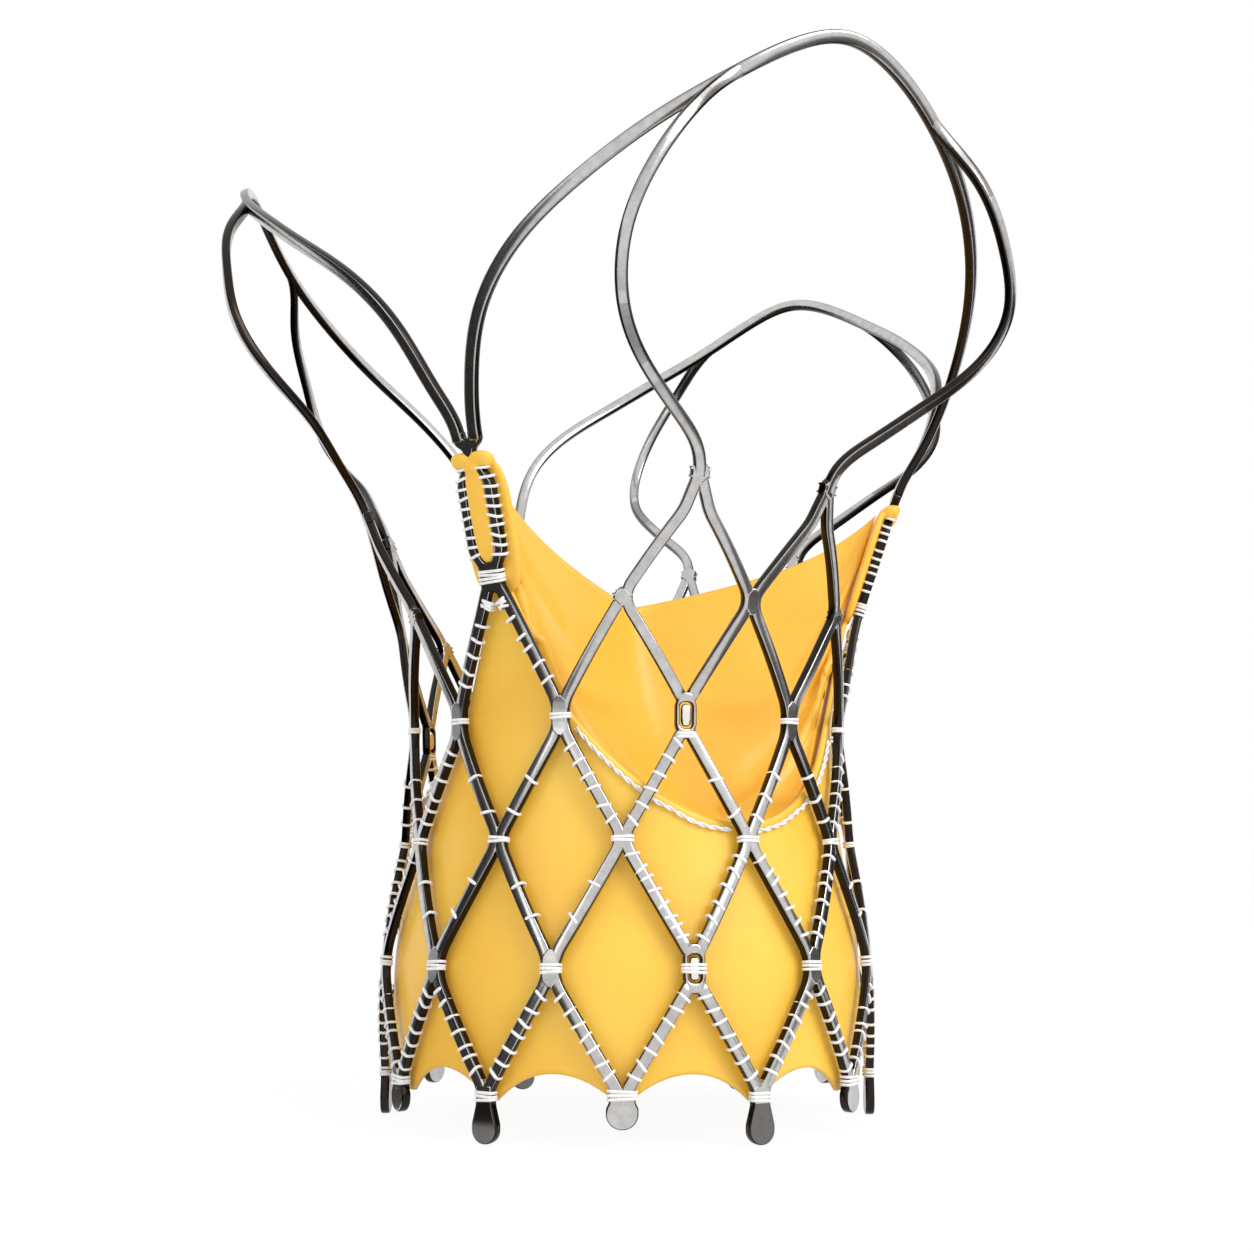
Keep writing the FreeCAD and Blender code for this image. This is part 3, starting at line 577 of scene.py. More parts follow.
def roundedLoop(corners):
    # Closed outline through (x, z, radius) corners; two bends share a side that is too short for both
    count = len(corners)
    spots = [np.array(corner[:2], float) for corner in corners]
    lengths = [np.linalg.norm(spots[(i + 1) % count] - spots[i]) for i in range(count)]
    ways = [(spots[(i + 1) % count] - spots[i]) / lengths[i] for i in range(count)]
    bends = [math.acos(np.clip(ways[i - 1] @ ways[i], -1, 1)) for i in range(count)]
    trims = [corners[i][2] * math.tan(bends[i] / 2) + 1e-9 for i in range(count)]
    fits = [min(1.0, 0.98 * lengths[i] / (trims[i] + trims[(i + 1) % count])) for i in range(count)]
    loop = []
    for i in range(count):
        trim = trims[i] * min(fits[i - 1], fits[i])
        if trim < 0.005:
            loop.append(spots[i])
            continue
        start, end = spots[i] - ways[i - 1] * trim, spots[i] + ways[i] * trim
        middle = math.cos(bends[i] / 2)
        for share in np.linspace(0, 1, max(2, round(math.degrees(bends[i]) / 9)) + 1):
            weights = np.array([(1 - share) ** 2, 2 * share * (1 - share) * middle, share ** 2])
            loop.append((start * weights[0] + spots[i] * weights[1] + end * weights[2]) / weights.sum())
    return loop


def plate(loops, azimuth):
    # An outline with its holes, given the wall's thickness and round edges, then wrapped on the wall
    curve = bpy.data.curves.new("plate", "CURVE")
    curve.dimensions, curve.fill_mode = "2D", "BOTH"
    for loop in loops:
        spline = curve.splines.new("POLY")
        spline.points.add(len(loop) - 1)
        for point, (x, z) in zip(spline.points, loop):
            point.co = (x, z, 0, 1)
        spline.use_cyclic_u = True
    curve.bevel_depth = plates["edge"]
    curve.bevel_resolution = 2
    curve.extrude = stent["wall"] / 2 - plates["edge"] + plates["proud"]
    curve.offset = -plates["edge"]
    drawn = linked("plate", curve)
    mesh = evaluatedMesh(drawn)
    bpy.data.objects.remove(drawn)
    flat = np.zeros(len(mesh.vertices) * 3)
    mesh.vertices.foreach_get("co", flat)
    x, z, depth = flat.reshape(-1, 3).T
    radius = radiusAt(z) - stent["wall"] / 2
    middle = spot(azimuth + np.degrees(np.arcsin(x / radius)), radius, z)
    placed = middle + outward(azimuth, z) * depth[:, None]
    mesh.vertices.foreach_set("co", (placed / 1000).reshape(-1))
    mesh.materials.clear()
    mesh.materials.append(materials["metal"])
    mesh.update()
    return linked("plate", mesh)


def mirrored(half):
    return half + [(-x, z, radius) for x, z, radius in reversed(half) if x > 0]


def paddlePlate(azimuth, form):
    # A long or a short paddle, by its neck, its round head and the neck's height
    neck, head = plates[form + "Neck"] / 2, plates[form + "Head"] / 2
    tip = plates[form + "TipZ"]
    half = [(neck, plates["paddleTopZ"], 0), (neck, plates[form + "NeckZ"], plates["neckRound"]),
            (head, tip + head + plates["headShoulder"], plates["headRound"]),
            (head, tip, plates["tipRound"] * head)]
    return plate([roundedLoop(mirrored(half))], azimuth)


def eyeletPlate(azimuth, low, high):
    half = stent["eyeletBarOffset"] + stent["strut"] / 2
    middle = (low + high) / 2
    holeX = plates["eyeletWidth"] / 2 + plates["eyeletClearance"]
    holeZ = plates["eyeletLength"] / 2 + plates["eyeletClearance"]
    corners = ((1, -1), (1, 1), (-1, 1), (-1, -1))
    hole = [(x * holeX, middle + z * holeZ, plates["holeRound"]) for x, z in corners]
    bend, end, endRound = plates["eyeletBend"], plates["eyeletEnd"], plates["eyeletEndRound"]
    reach = holeZ + bend
    outer = [(half, middle + bend, bend), (end, middle + reach, endRound), (-end, middle + reach, endRound),
             (-half, middle + bend, bend), (-half, middle - bend, bend), (-end, middle - reach, endRound),
             (end, middle - reach, endRound), (half, middle - bend, bend)]
    return plate([roundedLoop(outer), roundedLoop(hole)], azimuth)


def barPlate(azimuth, low, high, half=stent["barOffset"] + stent["strut"] / 2):
    # A solid bar that fills the forks above and below it
    middle = (low + high) / 2
    tip, bend, inner = plates["barTip"], plates["barBend"], half - plates["barInset"]
    right = [(tip, high + plates["barTipReach"], tip), (inner, high + plates["barReach"], bend),
             (half, middle + bend, bend), (half, middle - bend, bend),
             (inner, low - plates["barReach"], bend), (tip, low - plates["barTipReach"], tip)]
    left = [(-x, z, radius) for x, z, radius in reversed(right)]
    return plate([roundedLoop(right + left)], azimuth)


def postPlate(azimuth):
    low, high = stent["slotLow"], stent["slotHigh"]
    waist, wide, neck = plates["waistHalf"], plates["postHalf"], plates["neckHalf"]
    fork, crotch, forkZ = plates["forkHalf"], plates["crotchHalf"], plates["forkZ"]
    half = [(waist, plates["waistZ"], 0), (waist, low, 0.3), (wide, low + plates["footTaper"], 0.6),
            (wide, high - plates["headTaper"], 0.9), (neck, high + 0.22, 0.6),
            (neck, stent["postTopZ"] + 0.1, 0.3), (fork, forkZ - 0.4, 0.4), (fork, forkZ + 0.1, 0),
            (crotch, forkZ + 0.1, 0), (crotch, forkZ - 0.2, 0.17)]
    slotHalf, taper = wide - plates["postLeg"], plates["slotTaper"]
    slot = [(0, low, 0.3), (slotHalf, low + taper, 0.6), (slotHalf, high - taper, 0.6), (0, high, 0.3)]
    return plate([roundedLoop(mirrored(half)), roundedLoop(mirrored(slot))], azimuth)


def latticeThings():
    things = [latticeStruts()]
    for i in range(6):
        things.append(paddlePlate(60.0 * i, "long"))
        things.append(paddlePlate(60.0 * i + 30, "short"))
    for azimuth in np.arange(15.0, 360.0, 30.0):
        shape = eyeletPlate if nearest(azimuth, eyelets) < 1 else barPlate
        things.append(shape(azimuth, stent["barOneLow"], stent["barOneHigh"]))
        things.append(shape(azimuth, stent["barThreeLow"], stent["barThreeHigh"]))
    # Short bars where struts meet above the third row: angle from a leaflet's middle, low, high, half width
    sinus, shoulder = stent["sinusZ"], stent["shoulderZ"]
    meetings = [(0.0, sinus - 0.3, sinus + 0.3, 0.4)]
    for side in (-1, 1):
        meetings.append((side * 30.0, sinus - 0.1, sinus + 0.05, 0.45))
        meetings.append((side * 15.0, shoulder - 0.3, shoulder, 0.46))
    for middle in (0.0, 120.0, 240.0):
        things += [barPlate(middle + angle, low, high, half) for angle, low, high, half in meetings]
    return things + [postPlate(azimuth) for azimuth in posts]


# The crown: three arches, each with two inner branches that spring from the shoulders

crown = {"archWidth": 0.64, "wall": 0.50, "branchWidth": 0.60, "branchWall": 0.46, "rounding": 0.12,
         "archPoints": 170, "branchPoints": 90, "radius": 21.7, "bowRadius": 22.6, "flare": 21.0}
archKnots = [(0.969, 0.03, 0.03), (0.966, 0.065, 0.07), (0.937, 0.155, 0.215), (0.866, 0.325, 0.44),
             (0.745, 0.48, 0.605), (0.583, 0.615, 0.75), (0.42, 0.742, 0.868), (0.264, 0.857, 0.95),
             (0.138, 0.948, 0.987), (0.0, 1.0, 1.0)]
branchKnots = [(-15.0, -0.03, -0.02), (-15.6, 0.035, 0.04), (-20.4, 0.13, 0.2), (-27.0, 0.25, 0.47),
               (-29.6, 0.37, 0.78), (-29.2, 0.5, 0.96), (-26.6, 0.66, 1.0), (-21.4, 0.85, 0.95)]


def spline(knots, count):
    # Natural cubic through knots, by the distance along them
    knots = np.asarray(knots, float)
    step = np.r_[0, np.cumsum(np.linalg.norm(np.diff(knots, axis=0), axis=1))]
    size, gap = len(knots), np.diff(step)
    system, right = np.eye(size), np.zeros((size, 3))
    for i in range(1, size - 1):
        system[i, i - 1:i + 2] = gap[i - 1], 2 * (gap[i - 1] + gap[i]), gap[i]
        right[i] = 3 * ((knots[i + 1] - knots[i]) / gap[i] - (knots[i] - knots[i - 1]) / gap[i - 1])
    second = np.linalg.solve(system, right)
    at = np.linspace(0, step[-1], count)
    k = np.clip(np.searchsorted(step, at, side="right") - 1, 0, size - 2)
    t, wide = (at - step[k])[:, None], gap[k][:, None]
    first = (knots[k + 1] - knots[k]) / wide - wide * (2 * second[k] + second[k + 1]) / 3
    return knots[k] + first * t + second[k] * t ** 2 + (second[k + 1] - second[k]) / (3 * wide) * t ** 3


def crownFacing(azimuth):
    # Unit normal of the leaning crown
    lean = math.radians(crown["flare"])
    return spot(azimuth, math.cos(lean), -math.sin(lean))


def facingAlong(line):
    raw, along = crownFacing(azimuthOf(line)), tangents(line)
    return unit(raw - along * (raw * along).sum(axis=1)[:, None])


def archLine():
    # The arch over azimuth 0, from post to post
    rise, half = stent["peakZ"] - stent["postTopZ"], stent["third"] / 2
    root = stent["radii"][-1] - stent["wall"] / 2
    grow = crown["radius"] - stent["radii"][-1]
    left = [spot(-half * a, root + grow * g, stent["postTopZ"] + rise * h) for a, h, g in archKnots]
    right = [point * np.array([-1, 1, 1]) for point in left[-2::-1]]
    return spline(left + right, crown["archPoints"])


def branchLine(arch):
    # The left branch, from its shoulder to the arch and a little way inside it
    k = np.searchsorted(azimuthOf(arch), -stent["pitch"] / 2)
    junction, onwards = arch[k], [arch[k + 3], arch[k + 6], arch[k + 9]]
    rise = junction[2] - stent["shoulderZ"]
    root = stent["radii"][-2] - stent["wall"] / 2
    bow = crown["bowRadius"] - root
    knots = [spot(a, root + bow * g, stent["shoulderZ"] + rise * h) for a, h, g in branchKnots]
    return spline(knots + [junction] + onwards, crown["branchPoints"])


def sweptBars(name, line, width, wall):
    lines = [turned(line, stent["third"] * i) for i in range(3)]
    facings = [turned(facingAlong(line), stent["third"] * i) for i in range(3)]
    thing = lineObject(name, lines, facings)
    return runTree(thing, trees["bar"], Width=wall / 1000, Depth=width / 1000,
                   Rounding=crown["rounding"] / 1000)


def crownThings():
    arch = archLine()
    left = branchLine(arch)
    right = left * np.array([-1, 1, 1])
    return [sweptBars("arches", arch, crown["archWidth"], crown["wall"]),
            sweptBars("leftBranches", left, crown["branchWidth"], crown["branchWall"]),
            sweptBars("rightBranches", right, crown["branchWidth"], crown["branchWall"])]


def stentFrame():
    piece = joined("stentFrame", latticeThings() + crownThings())
    markSides(piece)
    return weighed(piece)


# Tissue: three closed leaflets, the skirt they are sewn to, and a folded tab behind each post

tissue = {
    "leafletWall": 0.28, "skirtWall": 0.26, "skirtGap": 0.30, "skirtRoom": 0.28, "tabWall": 0.45,
    "columns": 120, "rows": 56, "skirtColumns": 432, "skirtRows": 56, "tabVoxel": 0.07,
    "seamRise": 0.35, "seamSide": 5.7, "seamEnd": 58.5, "seamBend": 1.9, "seamPull": 1.3,
    "topZ": stent["postNodeZ"] + 0.1, "centreDrop": 5.2, "endGap": 0.13, "coaptation": 0.12,
    "coaptWall": 0.30, "ridge": 0.55, "bellyReach": 0.45, "bellyDepth": 0.5, "clearance": 0.05,
    "inset": 0.15, "rimFade": 6, "endFade": 12, "foldStart": 0.1, "foldEnd": 9,
    "hem": 0.45, "scallopRise": 1.36, "scallopHalf": 14.2, "scallopLow": 1.9, "skirtLow": 2.0,
}
# Folds on one half of a leaflet: the (u, v) places that each runs through, its half width, its height, and
# how sharply it ends near the leaflet's middle
folds = [
    {"path": [(1.0, 0.12), (0.80, 0.25), (0.55, 0.25), (0.25, 0.21), (0.0, 0.20)],
     "width": 0.045, "height": 0.5, "fade": 1e4},
    {"path": [(1.0, 0.24), (0.82, 0.40), (0.55, 0.40), (0.30, 0.35)],
     "width": 0.06, "height": -0.42, "fade": 4},
    {"path": [(0.97, 0.62), (0.80, 0.60), (0.62, 0.52), (0.40, 0.60), (0.20, 0.66)],
     "width": 0.04, "height": 0.34, "fade": 4},
    {"path": [(0.96, 0.86), (0.78, 0.80), (0.55, 0.76)], "width": 0.05, "height": -0.2, "fade": 4},
]


def seamHeight(angle):
    # Height of the line where a leaflet is sewn to the skirt
    side = 1.5 * stent["pitch"]
    low = stent["crossingZ"] + tissue["seamRise"]
    z = low + tissue["seamSide"] * (np.abs(angle) / side) ** tissue["seamBend"]
    past = np.maximum(0.0, np.abs(angle) - side) / (tissue["seamEnd"] - side)
    reach = tissue["topZ"] - low - tissue["seamSide"] * (tissue["seamEnd"] / side) ** tissue["seamBend"]
    return z + reach * past ** tissue["seamPull"]


def leafletGrid(u, v):
    # Middle surface of the closed leaflet over azimuth 0
    angle = tissue["seamEnd"] * u
    seamZ = seamHeight(angle)
    inside = stent["wall"] + tissue["skirtGap"] + tissue["skirtRoom"]
    inside = inside + 4 * tissue["clearance"] + tissue["inset"]
    seam = spot(angle, radiusAt(seamZ) - inside, seamZ)
    topZ = stent["slotHigh"]
    end = radiusAt(topZ) - stent["wall"] - tissue["tabWall"] - tissue["inset"] - tissue["endGap"]
    third = math.radians(60)
    x = u * end * math.sin(third)
    offset = (tissue["coaptWall"] + tissue["coaptation"]) / 2 / math.sin(third)
    y = offset + np.hypot(x / math.tan(third), tissue["ridge"])
    rise = 0.654 * np.abs(u) ** 1.15 + 0.346 * np.abs(u) ** 5
    edge = np.stack([x, -y, topZ - tissue["centreDrop"] * (1 - rise)], axis=-1)
    side = (np.abs(u) ** 4)[..., None]
    level = (edge - seam) * np.array([1, 1, 0])
    along = (edge - seam) / 3
    first = seam + level * tissue["bellyReach"] * (1 - side) + along * side
    drop = (edge[..., 2:] - seam[..., 2:]) * tissue["bellyDepth"] * (1 - side)
    last = edge - drop * np.array([0, 0, 1]) - along * side
    t = v[..., None]
    w = 1 - t
    return seam * w ** 3 + first * 3 * t * w ** 2 + last * 3 * t ** 2 * w + edge * t ** 3


def foldHeight(u, v):
    # How far each point of a leaflet is raised by the folds of both halves, which are fuller on the left
    height = np.zeros(np.broadcast(u, v).shape)
    for side, gain in ((-1, 1.0), (1, 0.75)):
        for fold in folds:
            nearestYet = np.full(height.shape, 9.0)
            for (fromU, fromV), (toU, toV) in zip(fold["path"], fold["path"][1:]):
                du, dv = toU - fromU, toV - fromV
                pu, pv = side * u - fromU, v - fromV
                share = np.clip((pu * du + pv * dv) / (du * du + dv * dv), 0, 1)
                nearestYet = np.minimum(nearestYet, np.hypot((pu - share * du) * 0.8, pv - share * dv))
            ends = np.clip((side * u - tissue["foldStart"]) * fold["fade"], 0, 1)
            ends = ends * np.clip((1.0 - side * u) * tissue["foldEnd"], 0, 1)
            height += gain * fold["height"] * ends * np.exp(-(nearestYet / fold["width"]) ** 2)
    return height


def thickened(piece, wall):
    return modified(piece, "SOLIDIFY", thickness=wall / 1000, offset=0.0)


def clearOfSkirt(grid):
    # Nothing of the leaflet reaches into the skirt, as far up as the skirt goes
    z = grid[..., 2]
    radius = np.hypot(grid[..., 0], grid[..., 1])
    top = seamHeight(np.clip(azimuthOf(grid), -60, 60)) + tissue["hem"]
    depth = stent["wall"] + tissue["skirtGap"] + tissue["skirtRoom"] + tissue["clearance"]
    most = radiusAt(z) - (depth + tissue["leafletWall"] / 2) + np.maximum(0.0, z - top - 0.3) * 2.0
    scale = np.minimum(1.0, most / radius)
    return grid * np.stack([scale, scale, np.ones_like(scale)], axis=-1)


def leafletPiece(index):
    columns, rows = tissue["columns"], tissue["rows"]
    u = np.linspace(-1, 1, columns + 1)[:, None]
    v = np.linspace(0, 1, rows + 1)[None, :]
    grid = leafletGrid(u, v)
    normal = unit(np.cross(np.gradient(grid, axis=0), np.gradient(grid, axis=1)))
    rim = np.minimum(1, np.minimum(v, 1 - v) * tissue["rimFade"])
    rim = rim * np.minimum(1, (1 - np.abs(u)) * tissue["endFade"])
    grid = clearOfSkirt(grid + normal * (foldHeight(u, v) * rim)[..., None])
    points = turned(grid.reshape(-1, 3), stent["third"] * index)
    name = f"leafletSkin{index + 1}"
    piece = meshObject(name, points, (), gridFaces(columns, rows), materials["leaflet"])
    return thickened(piece, tissue["leafletWall"])


def skirtPiece():
    columns, rows = tissue["skirtColumns"], tissue["skirtRows"]
    angle = np.arange(columns) * 360.0 / columns
    fromGap = angle % stent["pitch"] - stent["pitch"] / 2
    share = np.tan(np.radians(fromGap)) / math.tan(math.radians(tissue["scallopHalf"]))
    low = np.where(np.abs(share) < 1, tissue["scallopLow"] + tissue["scallopRise"] * (1 - share ** 2),
                   tissue["skirtLow"])
    top = np.minimum(seamHeight((angle + 60) % 120 - 60) + tissue["hem"], tissue["topZ"])
    rise = np.linspace(0, 1, rows + 1)[None, :]
    z = low[:, None] + (top - low)[:, None] * rise
    depth = stent["wall"] + tissue["skirtGap"] + tissue["skirtRoom"] / 2
    points = spot(angle[:, None], radiusAt(z) - depth, z).reshape(-1, 3)
    piece = meshObject("skirtSkin", points, (), gridFaces(columns, rows, closed=True), materials["skirt"])
    return thickened(piece, tissue["skirtWall"])


def pad(x, depth, z, halfX, halfDepth, halfZ, square, azimuth, material="leaflet"):
    # A rounded block on the wall, from an egg (square 1) to nearly a box (square 0.3)
    columns, rows = 40, 24
    across = np.linspace(-math.pi, math.pi, columns, endpoint=False)[:, None]
    upward = np.linspace(-math.pi / 2, math.pi / 2, rows + 1)[None, :]
    bent = lambda value: np.sign(value) * np.abs(value) ** square
    px = x + halfX * bent(np.cos(upward)) * bent(np.cos(across))
    pd = depth + halfDepth * bent(np.cos(upward)) * bent(np.sin(across))
    pz = z + halfZ * bent(np.sin(upward)) * np.ones_like(across)
    radius = radiusAt(pz) + pd
    points = spot(azimuth + np.degrees(np.arcsin(px / radius)), radius, pz).reshape(-1, 3)
    faces = gridFaces(columns, rows, closed=True)
    faces.append(tuple(i * (rows + 1) for i in reversed(range(columns))))
    faces.append(tuple(i * (rows + 1) + rows for i in range(columns)))
    return meshObject("pad", points, (), faces, materials[material])


# The lumps of a tab: across, depth behind the wall's face, height, three half sizes and squareness
tabPads = [(0.0, -0.76, 29.3, 1.48, 0.26, 3.2, 0.55), (0.0, -0.36, 29.85, 0.62, 0.44, 2.5, 0.62),
           (0.0, -0.08, 31.95, 0.42, 0.3, 0.34, 0.8), (-0.56, -0.3, 32.28, 0.62, 0.5, 0.4, 0.8),
           (0.56, -0.3, 32.28, 0.62, 0.5, 0.4, 0.8)]


def tabPiece(index):
    # Tissue behind the post, a tongue in its slot and two lobes folded over its top, melted into one piece
    piece = joined(f"tabSkin{index + 1}", [pad(*sizes, posts[index]) for sizes in tabPads])
    modified(piece, "REMESH", mode="VOXEL", voxel_size=tissue["tabVoxel"] / 1000)
    modified(piece, "SMOOTH", factor=0.5, iterations=8)
    piece.data.shade_smooth()
    piece.data.materials.clear()
    piece.data.materials.append(materials["leaflet"])
    return piece


# Thread: turns round bars, paddles, crossings, posts and struts, and a twisted thread along each seam

thread = {
    "radius": 0.078, "gap": -0.055, "strutGap": -0.05, "rounding": 0.17, "turnPitch": 0.168, "seed": 7,
    "tilt": 17.0, "lean": 5.0, "stackTilt": 4.0, "legTilt": 12.0, "legLean": 9.0, "slip": 0.02,
    "strand": 0.065, "spread": 0.062, "twist": 5200.0, "sway": 0.07, "seamFrom": 3.5, "seamTo": 41.8,
    "paddleTurns": 7, "postTurns": 6, "legTurns": 10, "legLow": 0.35, "legReach": 4.5, "legRadius": 14.2,
    "footInset": 0.3, "footZ": 28.0, "footReach": 0.7, "headInset": 0.22, "headZ": 31.2, "headReach": 0.6,
}
# Turns on the struts over each crossing and under it, by the crossing's place from the leaflet's middle:
# up to the left, up to the right, down to the left, down to the right
strutTurns = {-30: (6, 6, 2, 8), 0: (2, 3, 6, 7), 30: (3, 6, 6, 2), 60: (2, 2, 2, 2)}
# Turns crossed over each other under a post: their place along the strut and their tilt
postKnot = ((0.84, -30.0), (0.855, 20.0), (0.87, -5.0))
chance = np.random.default_rng(thread["seed"])


def strutPoint(start, end, share):
    # Centre of a strut between two (azimuth, z) meeting points, as the cells on both sides leave it
    (fromAzimuth, fromZ), (toAzimuth, toZ) = start, end
    z = fromZ + (toZ - fromZ) * share
    apart = abs(toAzimuth - fromAzimuth)
    side = 1 if toAzimuth > fromAzimuth else -1
    wide = math.sin(math.radians(apart))
    here = radiusAt(z)
    fromStart = np.degrees(np.arcsin(radiusAt(toZ) * wide * share / here))
    fromEnd = apart - np.degrees(np.arcsin(radiusAt(fromZ) * wide * (1 - share) / here))
    return fromAzimuth + side * (fromStart + fromEnd) / 2, z


def addTurn(turns, azimuth, z, along, tilt=0.0):
    # A turn is (centre, direction of the bar, direction across it)
    facing = outward(azimuth, z)
    along = unit(along - facing * (along @ facing))
    across = np.cross(along, facing)
    lean = math.radians(tilt)
    tiltedAlong = along * math.cos(lean) + across * math.sin(lean)
    tiltedAcross = across * math.cos(lean) - along * math.sin(lean)
    turns.append((spot(azimuth, radiusAt(z) - stent["wall"] / 2, z), tiltedAlong, tiltedAcross))


def strutWindings(turns, start, end, count, low=0.12, high=0.88):
    for k in range(count):
        share = low + (high - low) * (k + 0.5) / count + chance.uniform(-1, 1) * thread["slip"]
        ahead = onWall(*strutPoint(start, end, share + 0.02))
        behind = onWall(*strutPoint(start, end, share - 0.02))
        tilt = chance.uniform(-1, 1) * thread["tilt"] + thread["lean"]
        addTurn(turns, *strutPoint(start, end, share), ahead - behind, tilt)


def knot(turns, start, end, share, tilt):
    place = strutPoint(start, end, share)
    addTurn(turns, *place, onWall(*strutPoint(start, end, share + 0.02)) - onWall(*place), tilt)


def uprightAt(azimuth, z):
    return onWall(azimuth, z + 0.1) - onWall(azimuth, z)


def stackedTurns(turns, azimuth, z, count):
    upright = uprightAt(azimuth, z)
    for k in range(count):
        height = z + (k - (count - 1) / 2) * thread["turnPitch"]
        addTurn(turns, azimuth, height, upright, chance.uniform(-1, 1) * thread["stackTilt"])


def threadPiece(name, turns, width, gap=thread["gap"]):
    thing = meshObject(name, [turn[0] for turn in turns])
    addVectors(thing, "along", [turn[1] for turn in turns])
    addVectors(thing, "across", [turn[2] for turn in turns])
    grow = 2 * (gap + thread["radius"])
    deep = 2 * (thread["gap"] + thread["radius"])
    return runTree(thing, trees["winding"], Width=(width + grow) / 1000,
                   Depth=(stent["wall"] + deep) / 1000, Rounding=thread["rounding"] / 1000,
                   Thread=thread["radius"] / 1000)


def strutStitches():
    turns = []
    for i in range(12):
        node = stent["pitch"] * i
        upLeft, upRight, downLeft, downRight = strutTurns[int(round((node + 30) % 120 - 30))]
        crossing, post = (node, stent["crossingZ"]), (node, stent["postNodeZ"])
        for side, up, down in ((-1, upLeft, downLeft), (1, upRight, downRight)):
            bar = node + side * stent["pitch"] / 2
            lowerBar, upperBar = (bar, stent["barOneHigh"]), (bar, stent["barThreeHigh"])
            strutWindings(turns, (node, stent["crotchZ"]), (bar, stent["barOneLow"]), thread["paddleTurns"],
                          0.1, 0.92)
            strutWindings(turns, lowerBar, crossing, down, *((0.1, 0.9) if down > 3 else (0.2, 0.75)))
            strutWindings(turns, crossing, (bar, stent["barThreeLow"]), up,
                          *((0.1, 0.92) if up > 3 else (0.1, 0.7)))
            if nearest(node, posts) < 1:
                strutWindings(turns, upperBar, post, thread["postTurns"])
                for share, tilt in postKnot:
                    knot(turns, upperBar, post, share, tilt)
    return threadPiece("strutStitches", turns, stent["strut"], thread["strutGap"])


def legStitches():
    # Turns on both legs of each slot, which draw together at the slot's ends
    turns = []
    offset = plates["postHalf"] - plates["postLeg"] / 2
    for post in posts:
        for side in (-1, 1):
            for k in range(thread["legTurns"]):
                rise = (k + 0.5) * thread["legReach"] / thread["legTurns"]
                z = stent["slotLow"] + thread["legLow"] + rise
                inset = thread["footInset"] * max(0.0, (thread["footZ"] - z) / thread["footReach"])
                inset += thread["headInset"] * max(0.0, (z - thread["headZ"]) / thread["headReach"])
                azimuth = post + side * math.degrees((offset - inset) / thread["legRadius"])
                tilt = side * thread["legLean"] + chance.uniform(-1, 1) * thread["legTilt"]
                addTurn(turns, azimuth, z, uprightAt(azimuth, z), tilt)
    return threadPiece("legStitches", turns, plates["postLeg"] + 0.02, 0.0)


def ringOfTurns(name, azimuths, z, count, width):
    turns = []
    for azimuth in azimuths:
        stackedTurns(turns, azimuth, z, count)
    return threadPiece(name, turns, width)


def seamThread(index):
    # A twisted thread on each side of the leaflet's lowest point, which wanders a little about the seam
    lines = []
    for side in (-1, 1):
        angle = np.linspace(thread["seamFrom"], thread["seamTo"], 90)
        sway = np.convolve(chance.uniform(-1, 1, 96), [0.2, 0.3, 0.3, 0.3, 0.3, 0.3, 0.2], "valid")
        z = seamHeight(angle) + thread["sway"] * sway
        depth = stent["wall"] + tissue["skirtGap"] / 2 + 0.02
        lines.append(turned(spot(side * angle, radiusAt(z) - depth, z), stent["third"] * index))
    thing = lineObject(f"seamThread{index + 1}", lines)
    return runTree(thing, trees["twist"], Strand=thread["strand"] / 1000, Spread=thread["spread"] / 1000,
                   Twist=thread["twist"])


def dress(piece, slot, *nodes):
    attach(piece, "root")
    if nodes:
        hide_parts(*nodes)
    return piece


framePiece = dress(stentFrame(), "nitinol", "stent_frame")
print("frame", len(framePiece.data.polygons), "faces")

for index in range(3):
    leaf = dress(leafletPiece(index), "leaflet_tissue", f"leaflet_{index + 1}")
    dress(tabPiece(index), "leaflet_tissue", f"commissure_tab_{index + 1}")
skirt = dress(skirtPiece(), "skirt_tissue", "inner_skirt")
print("tissue done")

evenBars = [azimuth for azimuth in np.arange(15.0, 360.0, 30.0) if nearest(azimuth, eyelets) > 1]
barWidth = stent["strut"] + 2 * stent["barOffset"]
eyeletWidth = stent["strut"] + 2 * stent["eyeletBarOffset"]
lowerBarZ = (stent["barOneLow"] + stent["barOneHigh"]) / 2
upperBarZ = (stent["barThreeLow"] + stent["barThreeHigh"]) / 2
# Rings of turns: name, azimuths, height, turns, width of what they go round, and the nodes they stand for.
# At the upper eyelets the turns sit below the hole, round the narrower fork.
rings = [
    ("lowerBarThread", evenBars, lowerBarZ, 3, barWidth, ["lower_bar_lashings"]),
    ("lowerEyeletThread", eyelets, lowerBarZ, 3, eyeletWidth, []),
    ("upperBarThread", evenBars, upperBarZ, 2, barWidth, ["upper_bar_lashings"]),
    ("upperEyeletThread", eyelets, upperBarZ - 0.95, 2, eyeletWidth - 0.2, []),
    ("crossingThread", np.arange(0.0, 360.0, 30.0), stent["crossingZ"], 2, 0.94, ["crossing_lashings"]),
    ("longPaddleThread", np.arange(0.0, 360.0, 60.0), 2.185, 3, plates["longNeck"] + 0.03,
     ["long_paddle_lashings"]),
    ("shortPaddleThread", np.arange(30.0, 360.0, 60.0), 2.435, 3, plates["shortNeck"] + 0.03,
     ["short_paddle_lashings"]),
    ("postThread", posts, 26.875, 4, 2 * plates["waistHalf"] + 0.03,
     ["post_lashing_1", "post_lashing_2", "post_lashing_3"]),
]
for name, azimuths, z, count, width, nodes in rings:
    dress(ringOfTurns(name, azimuths, z, count, width), "suture", *nodes)
dress(strutStitches(), "suture")
dress(legStitches(), "suture")
